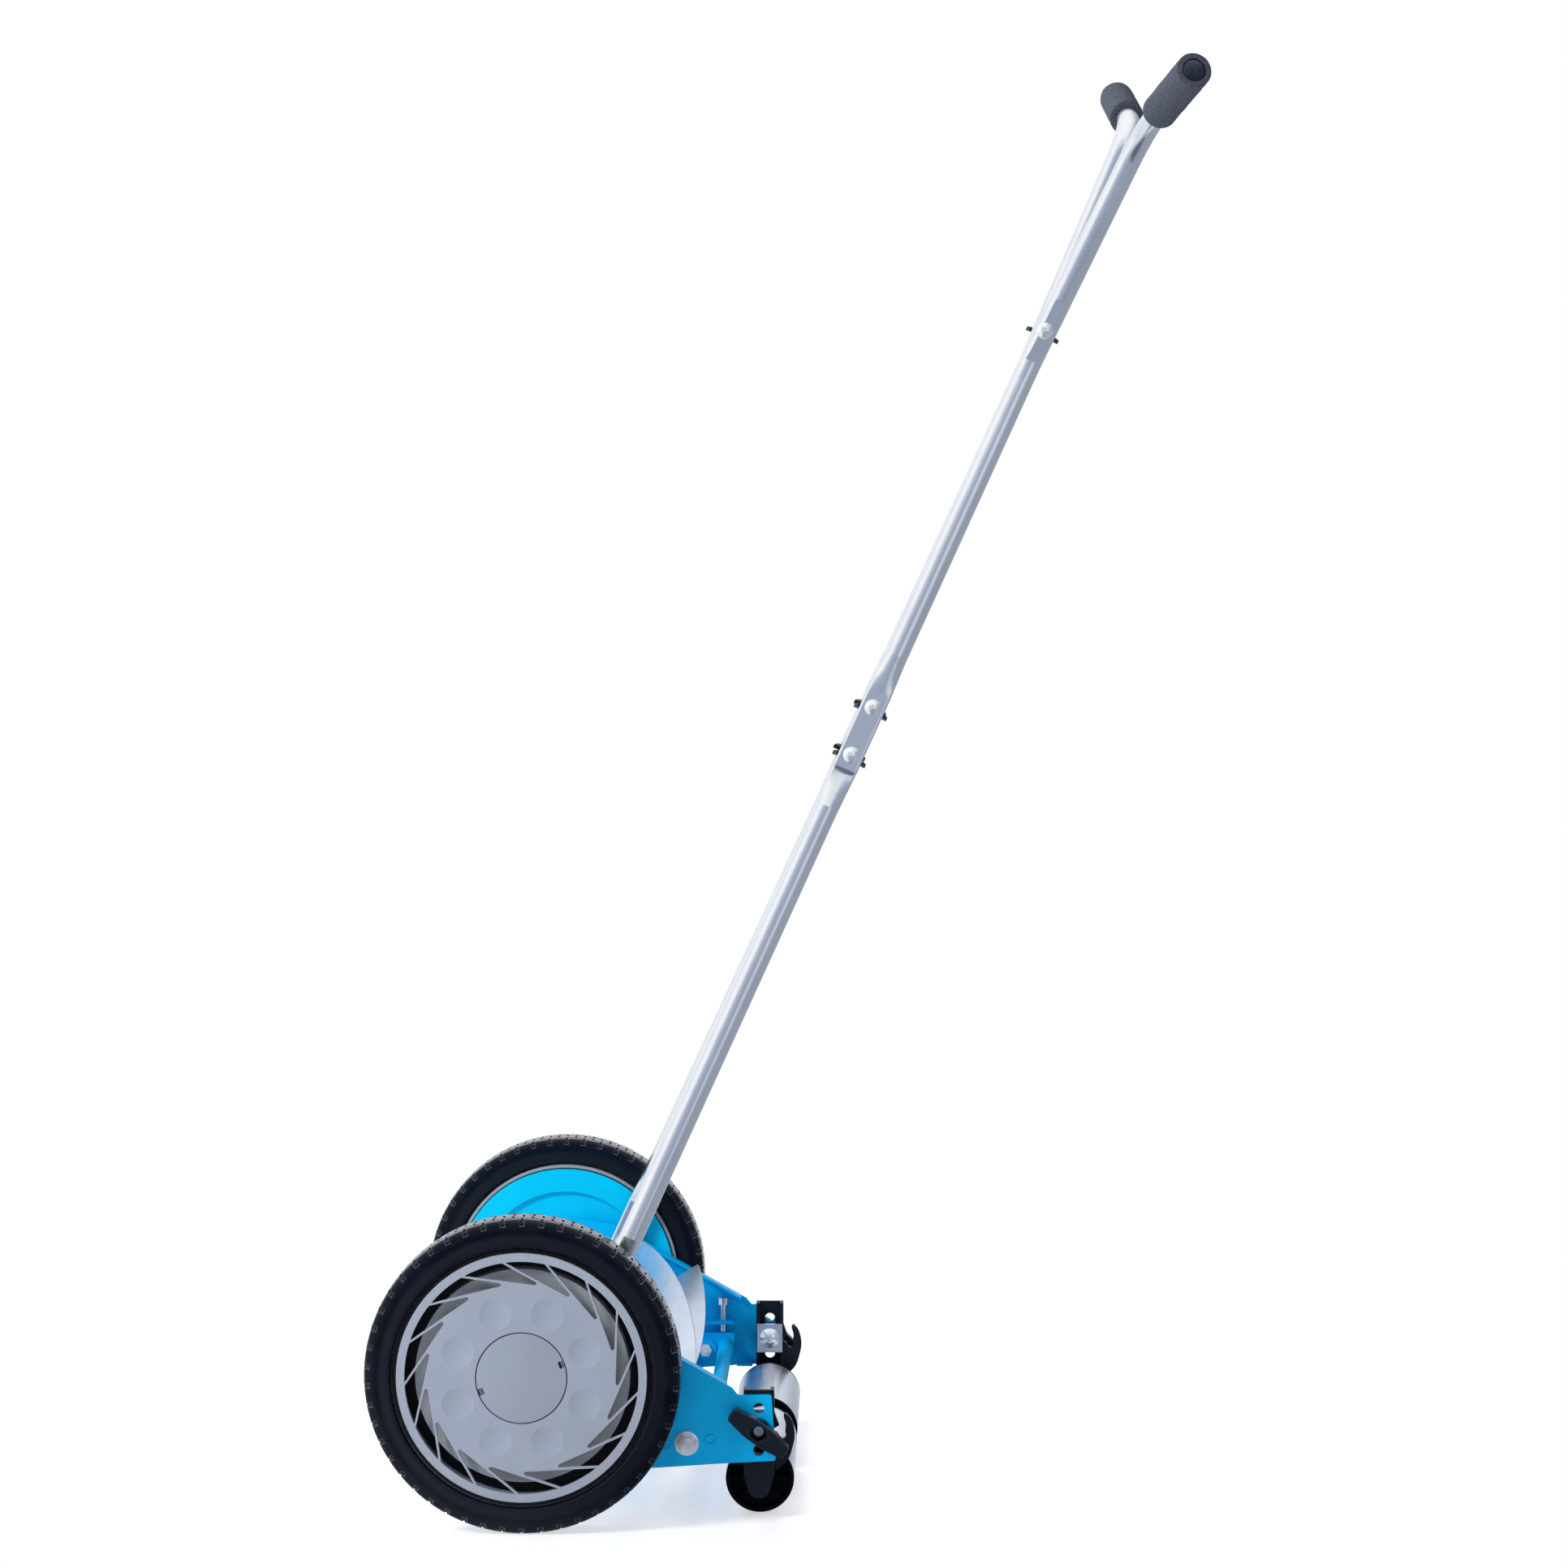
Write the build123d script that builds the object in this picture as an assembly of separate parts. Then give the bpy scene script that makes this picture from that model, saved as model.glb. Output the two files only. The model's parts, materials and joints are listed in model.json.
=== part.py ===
from build123d import *
from math import acos, asin, atan2, cos, pi, radians, sin, sqrt, tan
import os

# Hand-pushed reel mower. Millimetres, +Z up, the front of the mower faces -Y,
# the operator stands at +Y, and +X is the operator's left hand.
# While the pieces are made, Y is measured from the wheel axle and Z from the ground.

# Wheels
wheel_radius = 127.0
tyre_width = 41.0
tyre_shoulder = 9.0
track = 440.0
rim_radius = 103.0
rim_wall = 2.6
rim_fit = 0.05
backing_radius = 86.0
backing_sheet = 3.5
hub_radius = 16.0
axle_radius = 6.0
running_fit = 0.06
hubcap_fit = 0.2
hubcap_sheet = 3.0
hubcap_skirt = 3.7
hubcap_pocket = 7.0
window_count = 17
window_outer_radius = 93.5
window_tip_radius = 76.5
window_near_angle = 19.1
window_far_angle = 38.75
window_first_tip = 80.3
window_corner = 0.4
window_tip_round = 1.4
dimple_count = 8
dimple_radius = 13.0
dimple_circle = 54.7
dimple_depth = 1.6
cap_radius = 36.0
cap_fit = 0.9
cap_rise = 2.5
cap_notch_width = 5.6
cap_notch_depth = 4.2
cap_notch_turn = 19.0
axle_head = 3.5
axle_head_radius = 13.8
axle_spacer_radius = 13.2
axle_shoulder = 0.7
axle_shoulder_radius = 9.0
axle_end_gap = 2.0
axle_clip = 1.5
axle_clip_radius = 10.2
axle_clip_gap = 0.4

# Wheel gear and pinion
module = 2.5
ring_teeth = 69
pinion_teeth = 13
tooth_addendum = 0.8
tooth_dedendum = 1.1
tooth_backlash = 0.5
pressure_angle = 20.0
gear_width = 12.0
gear_side_gap = 0.5
ratchet_radius = 9.2
ratchet_notch_radius = 10.8
ratchet_depth = 6.0
pawl_length = 16.0
pawl_width = 3.0
pawl_height = 4.0
pawl_fit = 0.1
pawl_tip_gap = 0.4
pinion_side_gap = 0.2
pinion_clip = 1.2
pinion_clip_radius = 9.0
shaft_overhang = 4.0

# Side plates and gear covers
plate_sheet = 2.5
plate_to_tyre = 7.5
cover_sheet = 2.0
cover_gap = 5.0
cover_rim_gap = 0.9
cover_step_radius = 80.5
cover_step = 3.5
seat_fit = 0.05
flange_depth = 10.0
stud_radius = 5.0
stud_height = 0.6
plate_rear_margin = 1.5
edge_corner = 2.0
slope_foot_y = 166.0
slope_foot_drop = 17.5
slope_head_y = 46.0
slope_head_rise = 49.7
slope_flange_front_y = 84.0
slope_flange_rear_y = 162.0
foot_flange_front_y = 158.0
foot_flange_rear_y = 172.0
foot_flange_drop = 78.5

# Reel: its axis behind and below the wheel axle
reel_drop = 17.0
reel_radius = 65.0
reel_end_gap = 23.5
blade_count = 5
blade_width = 22.0
blade_sheet = 3.0
blade_twist = -125.0
blade_first_angle = 31.0
spider_count = 4
spider_sheet = 3.0
spider_hub_radius = 14.0
spider_inset = 16.0
spider_weld_gap = 0.9
spider_arm_width = 15.0
spider_tip_width = 7.0
spider_tip_slant = 2.0
bearing_radius = 14.0
bearing_flange = 4.0
bearing_flange_lip = 4.0
bearing_lip = 2.0
bearing_lip_gap = 0.5
shaft_clearance = 2.0

# Bed knife and its carrier, hung on two pivot bolts
knife_gap = 0.4
knife_offset = 16.0
knife_width = 38.0
knife_sheet = 3.0
knife_end_gap = 19.5
knife_lip = 1.2
knife_bevel = 3.0
knife_pivot_y = 129.5
knife_pivot_drop = 63.0
rivet_count = 5
rivet_pitch = 72.0
rivet_head_radius = 5.5
rivet_head = 2.0
rivet_radius = 2.5
carrier_bar_width = 22.0
carrier_bar_sheet = 5.0
carrier_bar_overhang = 4.0
arm_sheet = 6.0
arm_spacer = 3.0
arm_top_drop = 48.0
arm_front_y = 119.0
arm_rear_y = 155.7
arm_rear_drop = 69.0
cross_tube_radius = 6.5
cross_tube_y = 148.0
cross_tube_drop = 59.0
pivot_boss_radius = 10.0
pivot_boss = 3.0
side_gap = 0.3
small_bolt_radius = 3.0
small_nut_width = 10.0
small_nut = 5.0
bolt_end = 1.0
bolt_fit = 0.1
screw_fit = 0.05
knife_bolt_flange_radius = 10.0
knife_bolt_flange = 2.0
knife_bolt_width = 12.5
knife_bolt_head = 5.0
adjuster_y = 145.5
adjuster_head_radius = 5.4
adjuster_head = 6.0
adjuster_head_gap = 14.0
adjuster_tip_gap = 1.0
adjuster_groove = 1.6
adjuster_groove_depth = 2.0
adjuster_groove_turn = 20.0
tab_sheet = 3.0
tab_gap = 9.0
tab_reach = 10.0
tab_front_reach = 19.0
tab_rear_reach = 10.5

# Rear roller, its brackets and height clamps
roller_radius = 28.0
roller_y = 188.0
roller_end_gap = 29.5
roller_gap = 30.0
roller_wall = 1.5
roller_axle_radius = 5.0
cap_flange = 4.0
cap_spigot = 8.0
cap_recess = 10.0
cap_wall = 1.5
cap_rib_drop = 1.0
cap_hub_radius = 8.5
cap_rib_count = 8
cap_rib_sheet = 1.3
cap_fit_in_tube = 0.05
hub_end_gap = 0.3
bracket_width = 24.6
bracket_depth = 13.0
bracket_wall = 3.0
bracket_top_drop = 19.7
bracket_flange_rise = 3.0
bracket_corner = 6.0
bracket_tab_radius = 9.5
bracket_slide_gap = 0.3
slot_width = 9.4
slot_half_length = 20.8
clamp_drop = 51.5
clamp_pitch = 17.0
clamp_hole_radius = 4.5
clamp_bolt_radius = 4.0
clamp_head_radius = 9.0
clamp_head = 4.5
clamp_plate_width = 23.0
clamp_plate_height = 26.0
clamp_plate_sheet = 2.5
clamp_plate_gap = 0.1
clamp_bolt_recess = 11.5
hook_sheet = 6.0
hook_reach = 5.7
hook_drop = 53.0
hook_set_in = 2.0
knob_length = 54.0
knob_middle = 17.0
knob_end = 11.0
knob_tilt = -36.0
knob_boss_radius = 9.5
knob_boss = 6.5
knob_wing = 11.0
knob_well_radius = 6.6
knob_well_depth = 12.5
knob_corner = 2.0
knob_face_round = 1.5

# Front tie rod between the side plates
tie_radius = 7.0
tie_y = -22.0
tie_rise = 13.0
tie_screw_length = 16.0
tie_screw_end_gap = 0.5
tie_screw_width = 10.0
tie_screw_head = 4.0

# Handle
tube_radius = 9.5
tube_wall = 2.0
handle_pivot_y = 52.0
handle_pivot_rise = 33.0
handle_lean = 24.65
flat_width = 21.0
flat_sheet = 6.0
flat_corner = 2.4
flat_gap = 0.1
foot_gap = 0.5
foot_overhang = 11.0
foot_flat_end = 40.0
foot_round_start = 75.0
foot_kink = 8.0
joint_bolt_low = 503.0
joint_bolt_high = 546.0
joint_margin = 12.0
joint_run_out = 35.0
meeting_point = 865.0
meeting_bolt = 896.0
meeting_gap = 0.6
meeting_flat = 1.0
meeting_flat_length = 56.0
meeting_bend = 160.0
handle_top = 1086.0
top_splay = 5.6
grip_twist = 7.2
grip_bend = 42.0
grip_start = 42.0
grip_length = 100.0
grip_radius = 14.5
grip_fit = 0.2
grip_corner = 3.0
grip_rise = 26.5
grip_back = 9.4
grip_out = 101.0
plug_dome = 4.0
plug_spigot = 12.0
plug_set_in = 1.0
dome_head_radius = 7.0
dome_head = 3.6
wing_nut_hub_radius = 5.5
wing_nut_hub = 7.0
wing_nut_span = 30.0
wing_nut_sheet = 3.5
wing_nut_rise = 11.0
wing_nut_root = 1.5
wing_nut_tip = 6.0
wing_nut_slant = 3.0
wing_nut_foot = 0.5
bolt_overhang = 2.0
pivot_bolt_radius = 4.0
pivot_bolt_head = 4.0
pivot_bolt_head_radius = 7.2
pivot_nut = 6.5
pivot_nut_width = 13.0

# Places that follow from the sizes above, for the left-hand side
axle_z = wheel_radius
tyre_inner_x = track / 2 - tyre_width / 2
tyre_outer_x = track / 2 + tyre_width / 2
plate_outer_x = tyre_inner_x - plate_to_tyre
plate_inner_x = plate_outer_x - plate_sheet
cover_inner_x = plate_outer_x + cover_gap
cover_centre_x = cover_inner_x + cover_step
cover_outer_x = cover_centre_x + cover_sheet
gear_inner_x = cover_outer_x + gear_side_gap
gear_outer_x = gear_inner_x + gear_width
ring_pitch_radius = module * ring_teeth / 2
pinion_pitch_radius = module * pinion_teeth / 2
gear_centres = ring_pitch_radius - pinion_pitch_radius
reel_y = sqrt(gear_centres ** 2 - reel_drop ** 2)
reel_z = axle_z - reel_drop
hubcap_inner_x = tyre_outer_x - hubcap_sheet
web_inner_x = hubcap_inner_x - hubcap_pocket - backing_sheet
web_outer_x = web_inner_x + backing_sheet
bracket_outer_x = plate_inner_x - bracket_slide_gap
bracket_web_x = bracket_outer_x - bracket_wall
bracket_inner_x = bracket_outer_x - bracket_depth
bracket_top_z = axle_z - bracket_top_drop
reel_length = 2 * (plate_inner_x - reel_end_gap)
spider_spread = reel_length - 2 * spider_inset
knife_length = 2 * (plate_inner_x - knife_end_gap)
knife_top_z = reel_z - sqrt((reel_radius + knife_gap) ** 2 - knife_offset ** 2)
knife_front_y = reel_y + knife_offset
knife_rear_y = knife_front_y + knife_width
roller_inner_x = roller_gap / 2
roller_outer_x = plate_inner_x - roller_end_gap
roller_half_length = roller_outer_x - roller_inner_x
roller_hub = roller_gap / 2 - 2 * hub_end_gap
arm_outer_x = plate_inner_x - arm_spacer
arm_inner_x = arm_outer_x - arm_sheet
arm_top_z = axle_z - arm_top_drop
adjuster_x = (arm_inner_x + arm_outer_x) / 2
clamp_z = axle_z - clamp_drop
mesh_angle = atan2(-reel_drop, reel_y)
lean = radians(handle_lean)
axle_point = (0, axle_z)
reel_point = (reel_y, reel_z)
knife_pivot = (knife_pivot_y, axle_z - knife_pivot_drop)
handle_pivot = (handle_pivot_y, axle_z + handle_pivot_rise)
clamp_point = (roller_y, clamp_z)
roller_point = (roller_y, roller_radius)
tie_point = (tie_y, axle_z + tie_rise)


def rod(x0, x1, radius, centre):
    """A cylinder along X between two stations, centred on (y, z)."""
    middle = Location(((x0 + x1) / 2, centre[0], centre[1]), (0, 90, 0))
    return middle * Cylinder(radius, abs(x1 - x0))


def ring(x0, x1, outer, inner, centre):
    return rod(x0, x1, outer, centre) - rod(x0 - 1, x1 + 1, inner, centre)


def slab(x0, x1, sketch):
    """A sketch in (y, z) made solid between two stations along X."""
    return extrude(Plane.YZ.offset(x0) * sketch, amount=x1 - x0)


def block(x0, x1, y0, y1, z0, z1):
    centre = Location(((x0 + x1) / 2, (y0 + y1) / 2, (z0 + z1) / 2))
    return centre * Box(x1 - x0, y1 - y0, z1 - z0)


def outline(points, corner=0.0):
    shape = make_face(Polyline(*points, close=True))
    if corner:
        shape = fillet(shape.vertices(), corner)
    return shape


def polar(radius, angle):
    return (radius * cos(radians(angle)), radius * sin(radians(angle)))


def dome_cap(radius, height):
    """A shallow round head standing on the XY plane."""
    sphere_radius = (radius ** 2 + height ** 2) / (2 * height)
    half = asin(min(1.0, radius / sphere_radius)) / 2
    middle = (sphere_radius * sin(half), height - sphere_radius + sphere_radius * cos(half))
    profile = make_face([
        Line((0, 0), (radius, 0)),
        ThreePointArc((radius, 0), middle, (0, height)),
        Line((0, height), (0, 0)),
    ])
    return revolve(Plane.XZ * profile, Axis.Z)


def dome(x0, height, radius, centre, outward):
    """A shallow round head on the station x0, rising along X."""
    return Location((x0, centre[0], centre[1]), (0, 90 * outward, 0)) * dome_cap(radius, height)


def hexagon(x0, x1, across_flats, centre):
    shape = Location((centre[0], centre[1])) * RegularPolygon(across_flats / 2, 6, major_radius=False)
    return slab(x0, x1, shape)


def other_side(shape):
    return mirror(shape, about=Plane.YZ)


def pair(shape):
    """A left-hand piece and its right-hand twin as one group."""
    return Compound(children=[shape.solid(), other_side(shape).solid()])


def involute_half_angle(teeth, radius):
    """Half the angle that a tooth takes up at a radius."""
    pitch_radius = module * teeth / 2
    base_radius = pitch_radius * cos(radians(pressure_angle))

    def roll(r):
        slope = acos(min(1.0, base_radius / r))
        return tan(slope) - slope

    return pi / (2 * teeth) + roll(pitch_radius) - roll(max(radius, base_radius))


def tooth_outline(teeth, root_radius, tip_radius, slack):
    """One tooth pointing along +Y: straight flanks between root, pitch and tip."""
    pitch_radius = module * teeth / 2
    right = []
    for radius in (root_radius, pitch_radius, tip_radius):
        half = involute_half_angle(teeth, radius) - slack / (2 * radius)
        right.append((radius * cos(half), -radius * sin(half)))
    left = [(y, -z) for y, z in reversed(right)]
    return right, left


def turned(points, angle):
    return [(y * cos(angle) - z * sin(angle), y * sin(angle) + z * cos(angle)) for y, z in points]


def gear_outline(teeth, root_radius, tip_radius, slack, first_angle):
    """A closed outline of a whole toothed wheel, one tooth at the first angle."""
    right, left = tooth_outline(teeth, root_radius, tip_radius, slack)
    points = []
    for index in range(teeth):
        angle = first_angle + 2 * pi * index / teeth
        points += turned(right + left, angle)
    return make_face(Polyline(*points, close=True))


def make_tyre():
    body = ring(tyre_inner_x, tyre_outer_x, wheel_radius, rim_radius, axle_point)
    circles = body.edges().filter_by(GeomType.CIRCLE)
    return fillet(circles.filter_by(lambda edge: edge.radius > rim_radius + 1), tyre_shoulder)


def make_wheel_rim():
    outer = rim_radius - rim_fit
    inner = outer - rim_wall
    drum = ring(tyre_inner_x, hubcap_inner_x, outer, inner, axle_point)
    tip = ring_pitch_radius - tooth_addendum * module
    root = ring_pitch_radius + tooth_dedendum * module
    spaces = gear_outline(ring_teeth, tip - module, root, -tooth_backlash / 2, mesh_angle)
    gear = ring(gear_inner_x, gear_outer_x, inner, tip, axle_point)
    gear -= slab(gear_inner_x - 1, gear_outer_x + 1, Location(axle_point) * spaces)
    shelf_x = gear_outer_x + gear_side_gap
    wall = backing_radius - backing_sheet
    shelf = ring(gear_outer_x, shelf_x + backing_sheet, inner, root, axle_point)
    shelf += ring(shelf_x, shelf_x + backing_sheet, root, wall, axle_point)
    step = ring(shelf_x, web_outer_x, backing_radius, wall, axle_point)
    web = ring(web_inner_x, web_outer_x, wall, hub_radius, axle_point)
    hub_start_x = gear_inner_x + axle_shoulder + side_gap
    hub = ring(hub_start_x, web_outer_x, hub_radius, axle_radius + running_fit, axle_point)
    return drum + gear + shelf + step + web + hub


def window_tip(near, far):
    """The sharp corner of a window, so far out that its rounded end lies on the tip circle."""
    end = Vector(*polar(window_tip_radius, 0.0))
    to_near = (near - end).normalized()
    to_far = (far - end).normalized()
    half_angle = radians(to_near.get_angle(to_far) / 2)
    return end - (to_near + to_far).normalized() * (window_tip_round / sin(half_angle) - window_tip_round)


def make_hubcap():
    outer = rim_radius - rim_fit - rim_wall - hubcap_fit
    shelf_x = gear_outer_x + gear_side_gap + backing_sheet
    face = ring(hubcap_inner_x, tyre_outer_x, outer, cap_radius + cap_fit, axle_point)
    skirt = ring(shelf_x, tyre_outer_x, outer, outer - hubcap_skirt, axle_point)
    collar_radius = cap_radius + cap_fit
    collar = ring(web_outer_x, tyre_outer_x, collar_radius + hubcap_sheet, collar_radius, axle_point)
    hubcap = face + skirt + collar
    near = polar(window_outer_radius, window_near_angle)
    middle = polar(window_outer_radius, (window_near_angle + window_far_angle) / 2)
    far = polar(window_outer_radius, window_far_angle)
    tip = window_tip(Vector(*near), Vector(*far))
    window = make_face([Line(tip, near), ThreePointArc(near, middle, far), Line(far, tip)])
    window = fillet(window.vertices().sort_by_distance(tip)[1:], window_corner)
    window = fillet(window.vertices().sort_by_distance(tip)[:1], window_tip_round)
    for index in range(window_count):
        angle = window_first_tip + 360.0 * index / window_count
        placed = Location(axle_point) * Rot(0, 0, angle) * window
        hubcap -= slab(hubcap_inner_x - 1, tyre_outer_x + 1, placed)
    ball_radius = (dimple_radius ** 2 + dimple_depth ** 2) / (2 * dimple_depth)
    ball_x = tyre_outer_x - dimple_depth + ball_radius
    for index in range(dimple_count):
        y, z = polar(dimple_circle, 360.0 * (index + 0.5) / dimple_count)
        hubcap -= Location((ball_x, y, axle_z + z)) * Sphere(ball_radius)
    return hubcap


def make_centre_cap():
    top = rod(hubcap_inner_x, tyre_outer_x, cap_radius, axle_point)
    top += dome(tyre_outer_x, cap_rise, cap_radius, axle_point, 1)
    skirt = ring(web_outer_x, hubcap_inner_x, cap_radius, cap_radius - hubcap_sheet, axle_point)
    cap = top + skirt
    for angle in (cap_notch_turn, cap_notch_turn + 180.0):
        notch = Location((cap_radius, 0)) * Rectangle(2 * cap_notch_depth, cap_notch_width)
        placed = Location(axle_point) * Rot(0, 0, angle) * notch
        cap -= slab(hubcap_inner_x, tyre_outer_x + cap_rise, placed)
    return cap


def make_stub_axle():
    inner_end = plate_inner_x - axle_head
    axle = rod(inner_end, hubcap_inner_x - axle_end_gap, axle_radius, axle_point)
    axle += rod(inner_end, plate_inner_x, axle_head_radius, axle_point)
    axle += rod(plate_outer_x, cover_centre_x, axle_spacer_radius, axle_point)
    return axle + rod(cover_outer_x, gear_inner_x + axle_shoulder, axle_shoulder_radius, axle_point)


def make_axle_clip():
    start = web_outer_x + axle_clip_gap
    return ring(start, start + axle_clip, axle_clip_radius, axle_radius + seat_fit, axle_point)


def make_pinion():
    root = pinion_pitch_radius - tooth_dedendum * module
    tip = pinion_pitch_radius + tooth_addendum * module
    inner = gear_inner_x + pinion_side_gap
    outer = gear_outer_x - pinion_side_gap
    teeth = gear_outline(pinion_teeth, root, tip, tooth_backlash / 2, mesh_angle)
    pinion = slab(inner, outer, Location(reel_point) * teeth)
    pinion -= rod(inner - 1, outer + 1, axle_radius + running_fit, reel_point)
    recess_end = inner + ratchet_depth
    pinion -= rod(inner - 1, recess_end, ratchet_radius, reel_point)
    notch_width = pawl_width + 2 * pawl_fit
    notch = block(inner - 1, recess_end, reel_y - notch_width / 2, reel_y + notch_width / 2,
                  reel_z - ratchet_notch_radius, reel_z + ratchet_notch_radius)
    return pinion - notch


def pawl_at(side_x, lift, width, height, length):
    """A pawl's block in its cross slot, moved outwards along Z by its lift."""
    return block(side_x - height / 2, side_x + height / 2, reel_y - width / 2, reel_y + width / 2,
                 reel_z + lift - length / 2, reel_z + lift + length / 2)


pawl_x = gear_inner_x + pinion_side_gap + ratchet_depth / 2
engaged_lift = ratchet_notch_radius - pawl_tip_gap - pawl_length / 2


def make_pawls():
    driving = pawl_at(pawl_x, engaged_lift, pawl_width, pawl_height, pawl_length)
    coasting = pawl_at(-pawl_x, 0.0, pawl_width, pawl_height, pawl_length)
    return Compound(children=[driving.solid(), coasting.solid()])


def make_reel_shaft():
    end = gear_outer_x + shaft_overhang
    shaft = rod(-end, end, axle_radius, reel_point)
    slot_width_y = pawl_width + pawl_fit
    slot_width_x = pawl_height + pawl_fit
    for side in (1, -1):
        shaft -= pawl_at(side * pawl_x, 0.0, slot_width_y, slot_width_x, 4 * axle_radius)
    return shaft


def make_pinion_clip():
    start = gear_outer_x + pinion_side_gap
    return ring(start, start + pinion_clip, pinion_clip_radius, axle_radius + seat_fit, reel_point)


def blade_angle(x):
    """Where the first blade stands around the reel at a station along X."""
    return blade_first_angle + blade_twist * (x + reel_length / 2) / reel_length


def make_blade(index):
    inner = reel_radius - blade_width
    section = Location((inner + blade_width / 2, 0)) * Rectangle(blade_width, blade_sheet)
    turn = blade_first_angle + 360.0 * index / blade_count
    face = Plane.YZ.offset(-reel_length / 2) * (Location(reel_point) * Rot(0, 0, turn) * section)
    centre = (-reel_length / 2, reel_y, reel_z)
    return Solid.extrude_linear_with_rotation(face.face(), centre, (reel_length, 0, 0), blade_twist)


def make_spiders():
    arm_start = axle_radius + shaft_clearance
    arm_end = reel_radius - blade_width / 2
    seat = -(blade_sheet / 2 + spider_weld_gap)
    arm = outline([
        (arm_start, seat), (arm_end, seat),
        (arm_end - spider_tip_slant, seat - spider_tip_width), (arm_start, seat - spider_arm_width),
    ])
    discs = []
    for index in range(spider_count):
        x = -spider_spread / 2 + spider_spread * index / (spider_count - 1)
        star = Circle(spider_hub_radius)
        for blade in range(blade_count):
            star += Rot(0, 0, 360.0 * blade / blade_count) * arm
        star -= Circle(axle_radius + seat_fit)
        placed = Location(reel_point) * Rot(0, 0, blade_angle(x)) * star
        discs.append(slab(x - spider_sheet / 2, x + spider_sheet / 2, placed).solid())
    return Compound(children=discs)


def make_reel_bearing():
    start = plate_inner_x - bearing_flange
    bearing = rod(start, plate_inner_x, bearing_radius + bearing_flange_lip, reel_point)
    bearing += rod(plate_inner_x, plate_outer_x, bearing_radius, reel_point)
    end = cover_inner_x - bearing_lip_gap
    bearing += rod(plate_outer_x, end, bearing_radius + bearing_lip, reel_point)
    return bearing - rod(start - 1, end + 1, axle_radius + running_fit, reel_point)


# The edge of the side plate, as distances behind and above the wheel axle
slope_head = (slope_head_y, slope_head_rise)
slope_foot = (slope_foot_y, -slope_foot_drop)
plate_rear_y = roller_y + bracket_width / 2 + plate_rear_margin
plate_edge = [
    (plate_rear_y - 3.5, -23.0), (plate_rear_y, -77.0), (157.0, -79.5), (107.0, -83.0), (66.0, -85.0),
    (10.0, -67.0), (-36.0, -27.0), (-40.0, 8.0), (-24.0, 39.0), (16.0, 55.0),
    slope_head, slope_foot, (slope_foot_y + 5.0, -23.5),
]
plate_studs = [(cross_tube_y + 1.0, -60.5), (113.5, -64.5)]


def on_slope(y):
    """The height above the axle of the plate's sloping top edge."""
    part_way = (slope_foot_y - y) / (slope_foot_y - slope_head_y)
    return slope_foot[1] + (slope_head[1] - slope_foot[1]) * part_way


def make_side_plate():
    above_axle = Location(axle_point)
    flange_x = plate_inner_x - flange_depth
    plate = slab(plate_inner_x, plate_outer_x, above_axle * outline(plate_edge, edge_corner))
    lip = [(y, on_slope(y)) for y in (slope_flange_front_y, slope_flange_rear_y)]
    lip += [(y, z - plate_sheet) for y, z in reversed(lip)]
    plate += slab(flange_x, plate_inner_x, above_axle * outline(lip))
    foot_z = axle_z - foot_flange_drop
    foot_top_z = foot_z + plate_sheet
    plate += block(flange_x, plate_inner_x, foot_flange_front_y, foot_flange_rear_y, foot_z, foot_top_z)
    tab_bottom = arm_top_z + tab_gap
    tab_front = adjuster_y - tab_front_reach
    tab_rear = adjuster_y + tab_rear_reach
    tab_x = adjuster_x - tab_reach
    plate += block(tab_x, plate_inner_x, tab_front, tab_rear, tab_bottom, tab_bottom + tab_sheet)
    thread = Cylinder(small_bolt_radius + screw_fit, 4 * tab_sheet)
    plate -= Location((adjuster_x, adjuster_y, tab_bottom)) * thread
    for y, z in plate_studs:
        stud = ring(plate_outer_x, plate_outer_x + stud_height, stud_radius, stud_radius / 2, (y, axle_z + z))
        plate += stud
    for centre, radius in (
        (axle_point, axle_radius + seat_fit),
        (reel_point, bearing_radius + seat_fit),
        (handle_pivot, pivot_bolt_radius + bolt_fit),
        (knife_pivot, small_bolt_radius + bolt_fit),
        (tie_point, small_bolt_radius + bolt_fit),
        ((roller_y, clamp_z - clamp_pitch), clamp_hole_radius),
        (clamp_point, clamp_hole_radius),
        ((roller_y, clamp_z + clamp_pitch), clamp_hole_radius),
    ):
        plate -= rod(plate_inner_x - 1, plate_outer_x + 1, radius, centre)
    return plate


def make_gear_cover():
    outer = rim_radius - rim_fit - rim_wall - cover_rim_gap
    rim = ring(cover_inner_x, cover_inner_x + cover_sheet, outer, cover_step_radius - cover_sheet, axle_point)
    wall = ring(cover_inner_x, cover_outer_x, cover_step_radius, cover_step_radius - cover_sheet, axle_point)
    middle = rod(cover_centre_x, cover_outer_x, cover_step_radius, axle_point)
    cover = rim + wall + middle
    cover -= rod(cover_centre_x - 1, cover_outer_x + 1, axle_radius + seat_fit, axle_point)
    return cover - rod(cover_centre_x - 1, cover_outer_x + 1, axle_radius + shaft_clearance, reel_point)


def make_tie_rod():
    tie = rod(-plate_inner_x, plate_inner_x, tie_radius, tie_point)
    for side in (1, -1):
        start = side * (plate_inner_x - tie_screw_length)
        tie -= rod(start, side * (plate_inner_x + 1), small_bolt_radius + screw_fit, tie_point)
    return tie


def make_tie_screw():
    start = plate_inner_x - tie_screw_length + tie_screw_end_gap
    screw = rod(start, plate_outer_x, small_bolt_radius, tie_point)
    return screw + hexagon(plate_outer_x, plate_outer_x + tie_screw_head, tie_screw_width, tie_point)


bar_rear_y = knife_rear_y + carrier_bar_overhang
bar_front_y = bar_rear_y - carrier_bar_width
bar_top_z = knife_top_z + carrier_bar_sheet
rivet_y = (bar_front_y + knife_rear_y) / 2


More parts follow.
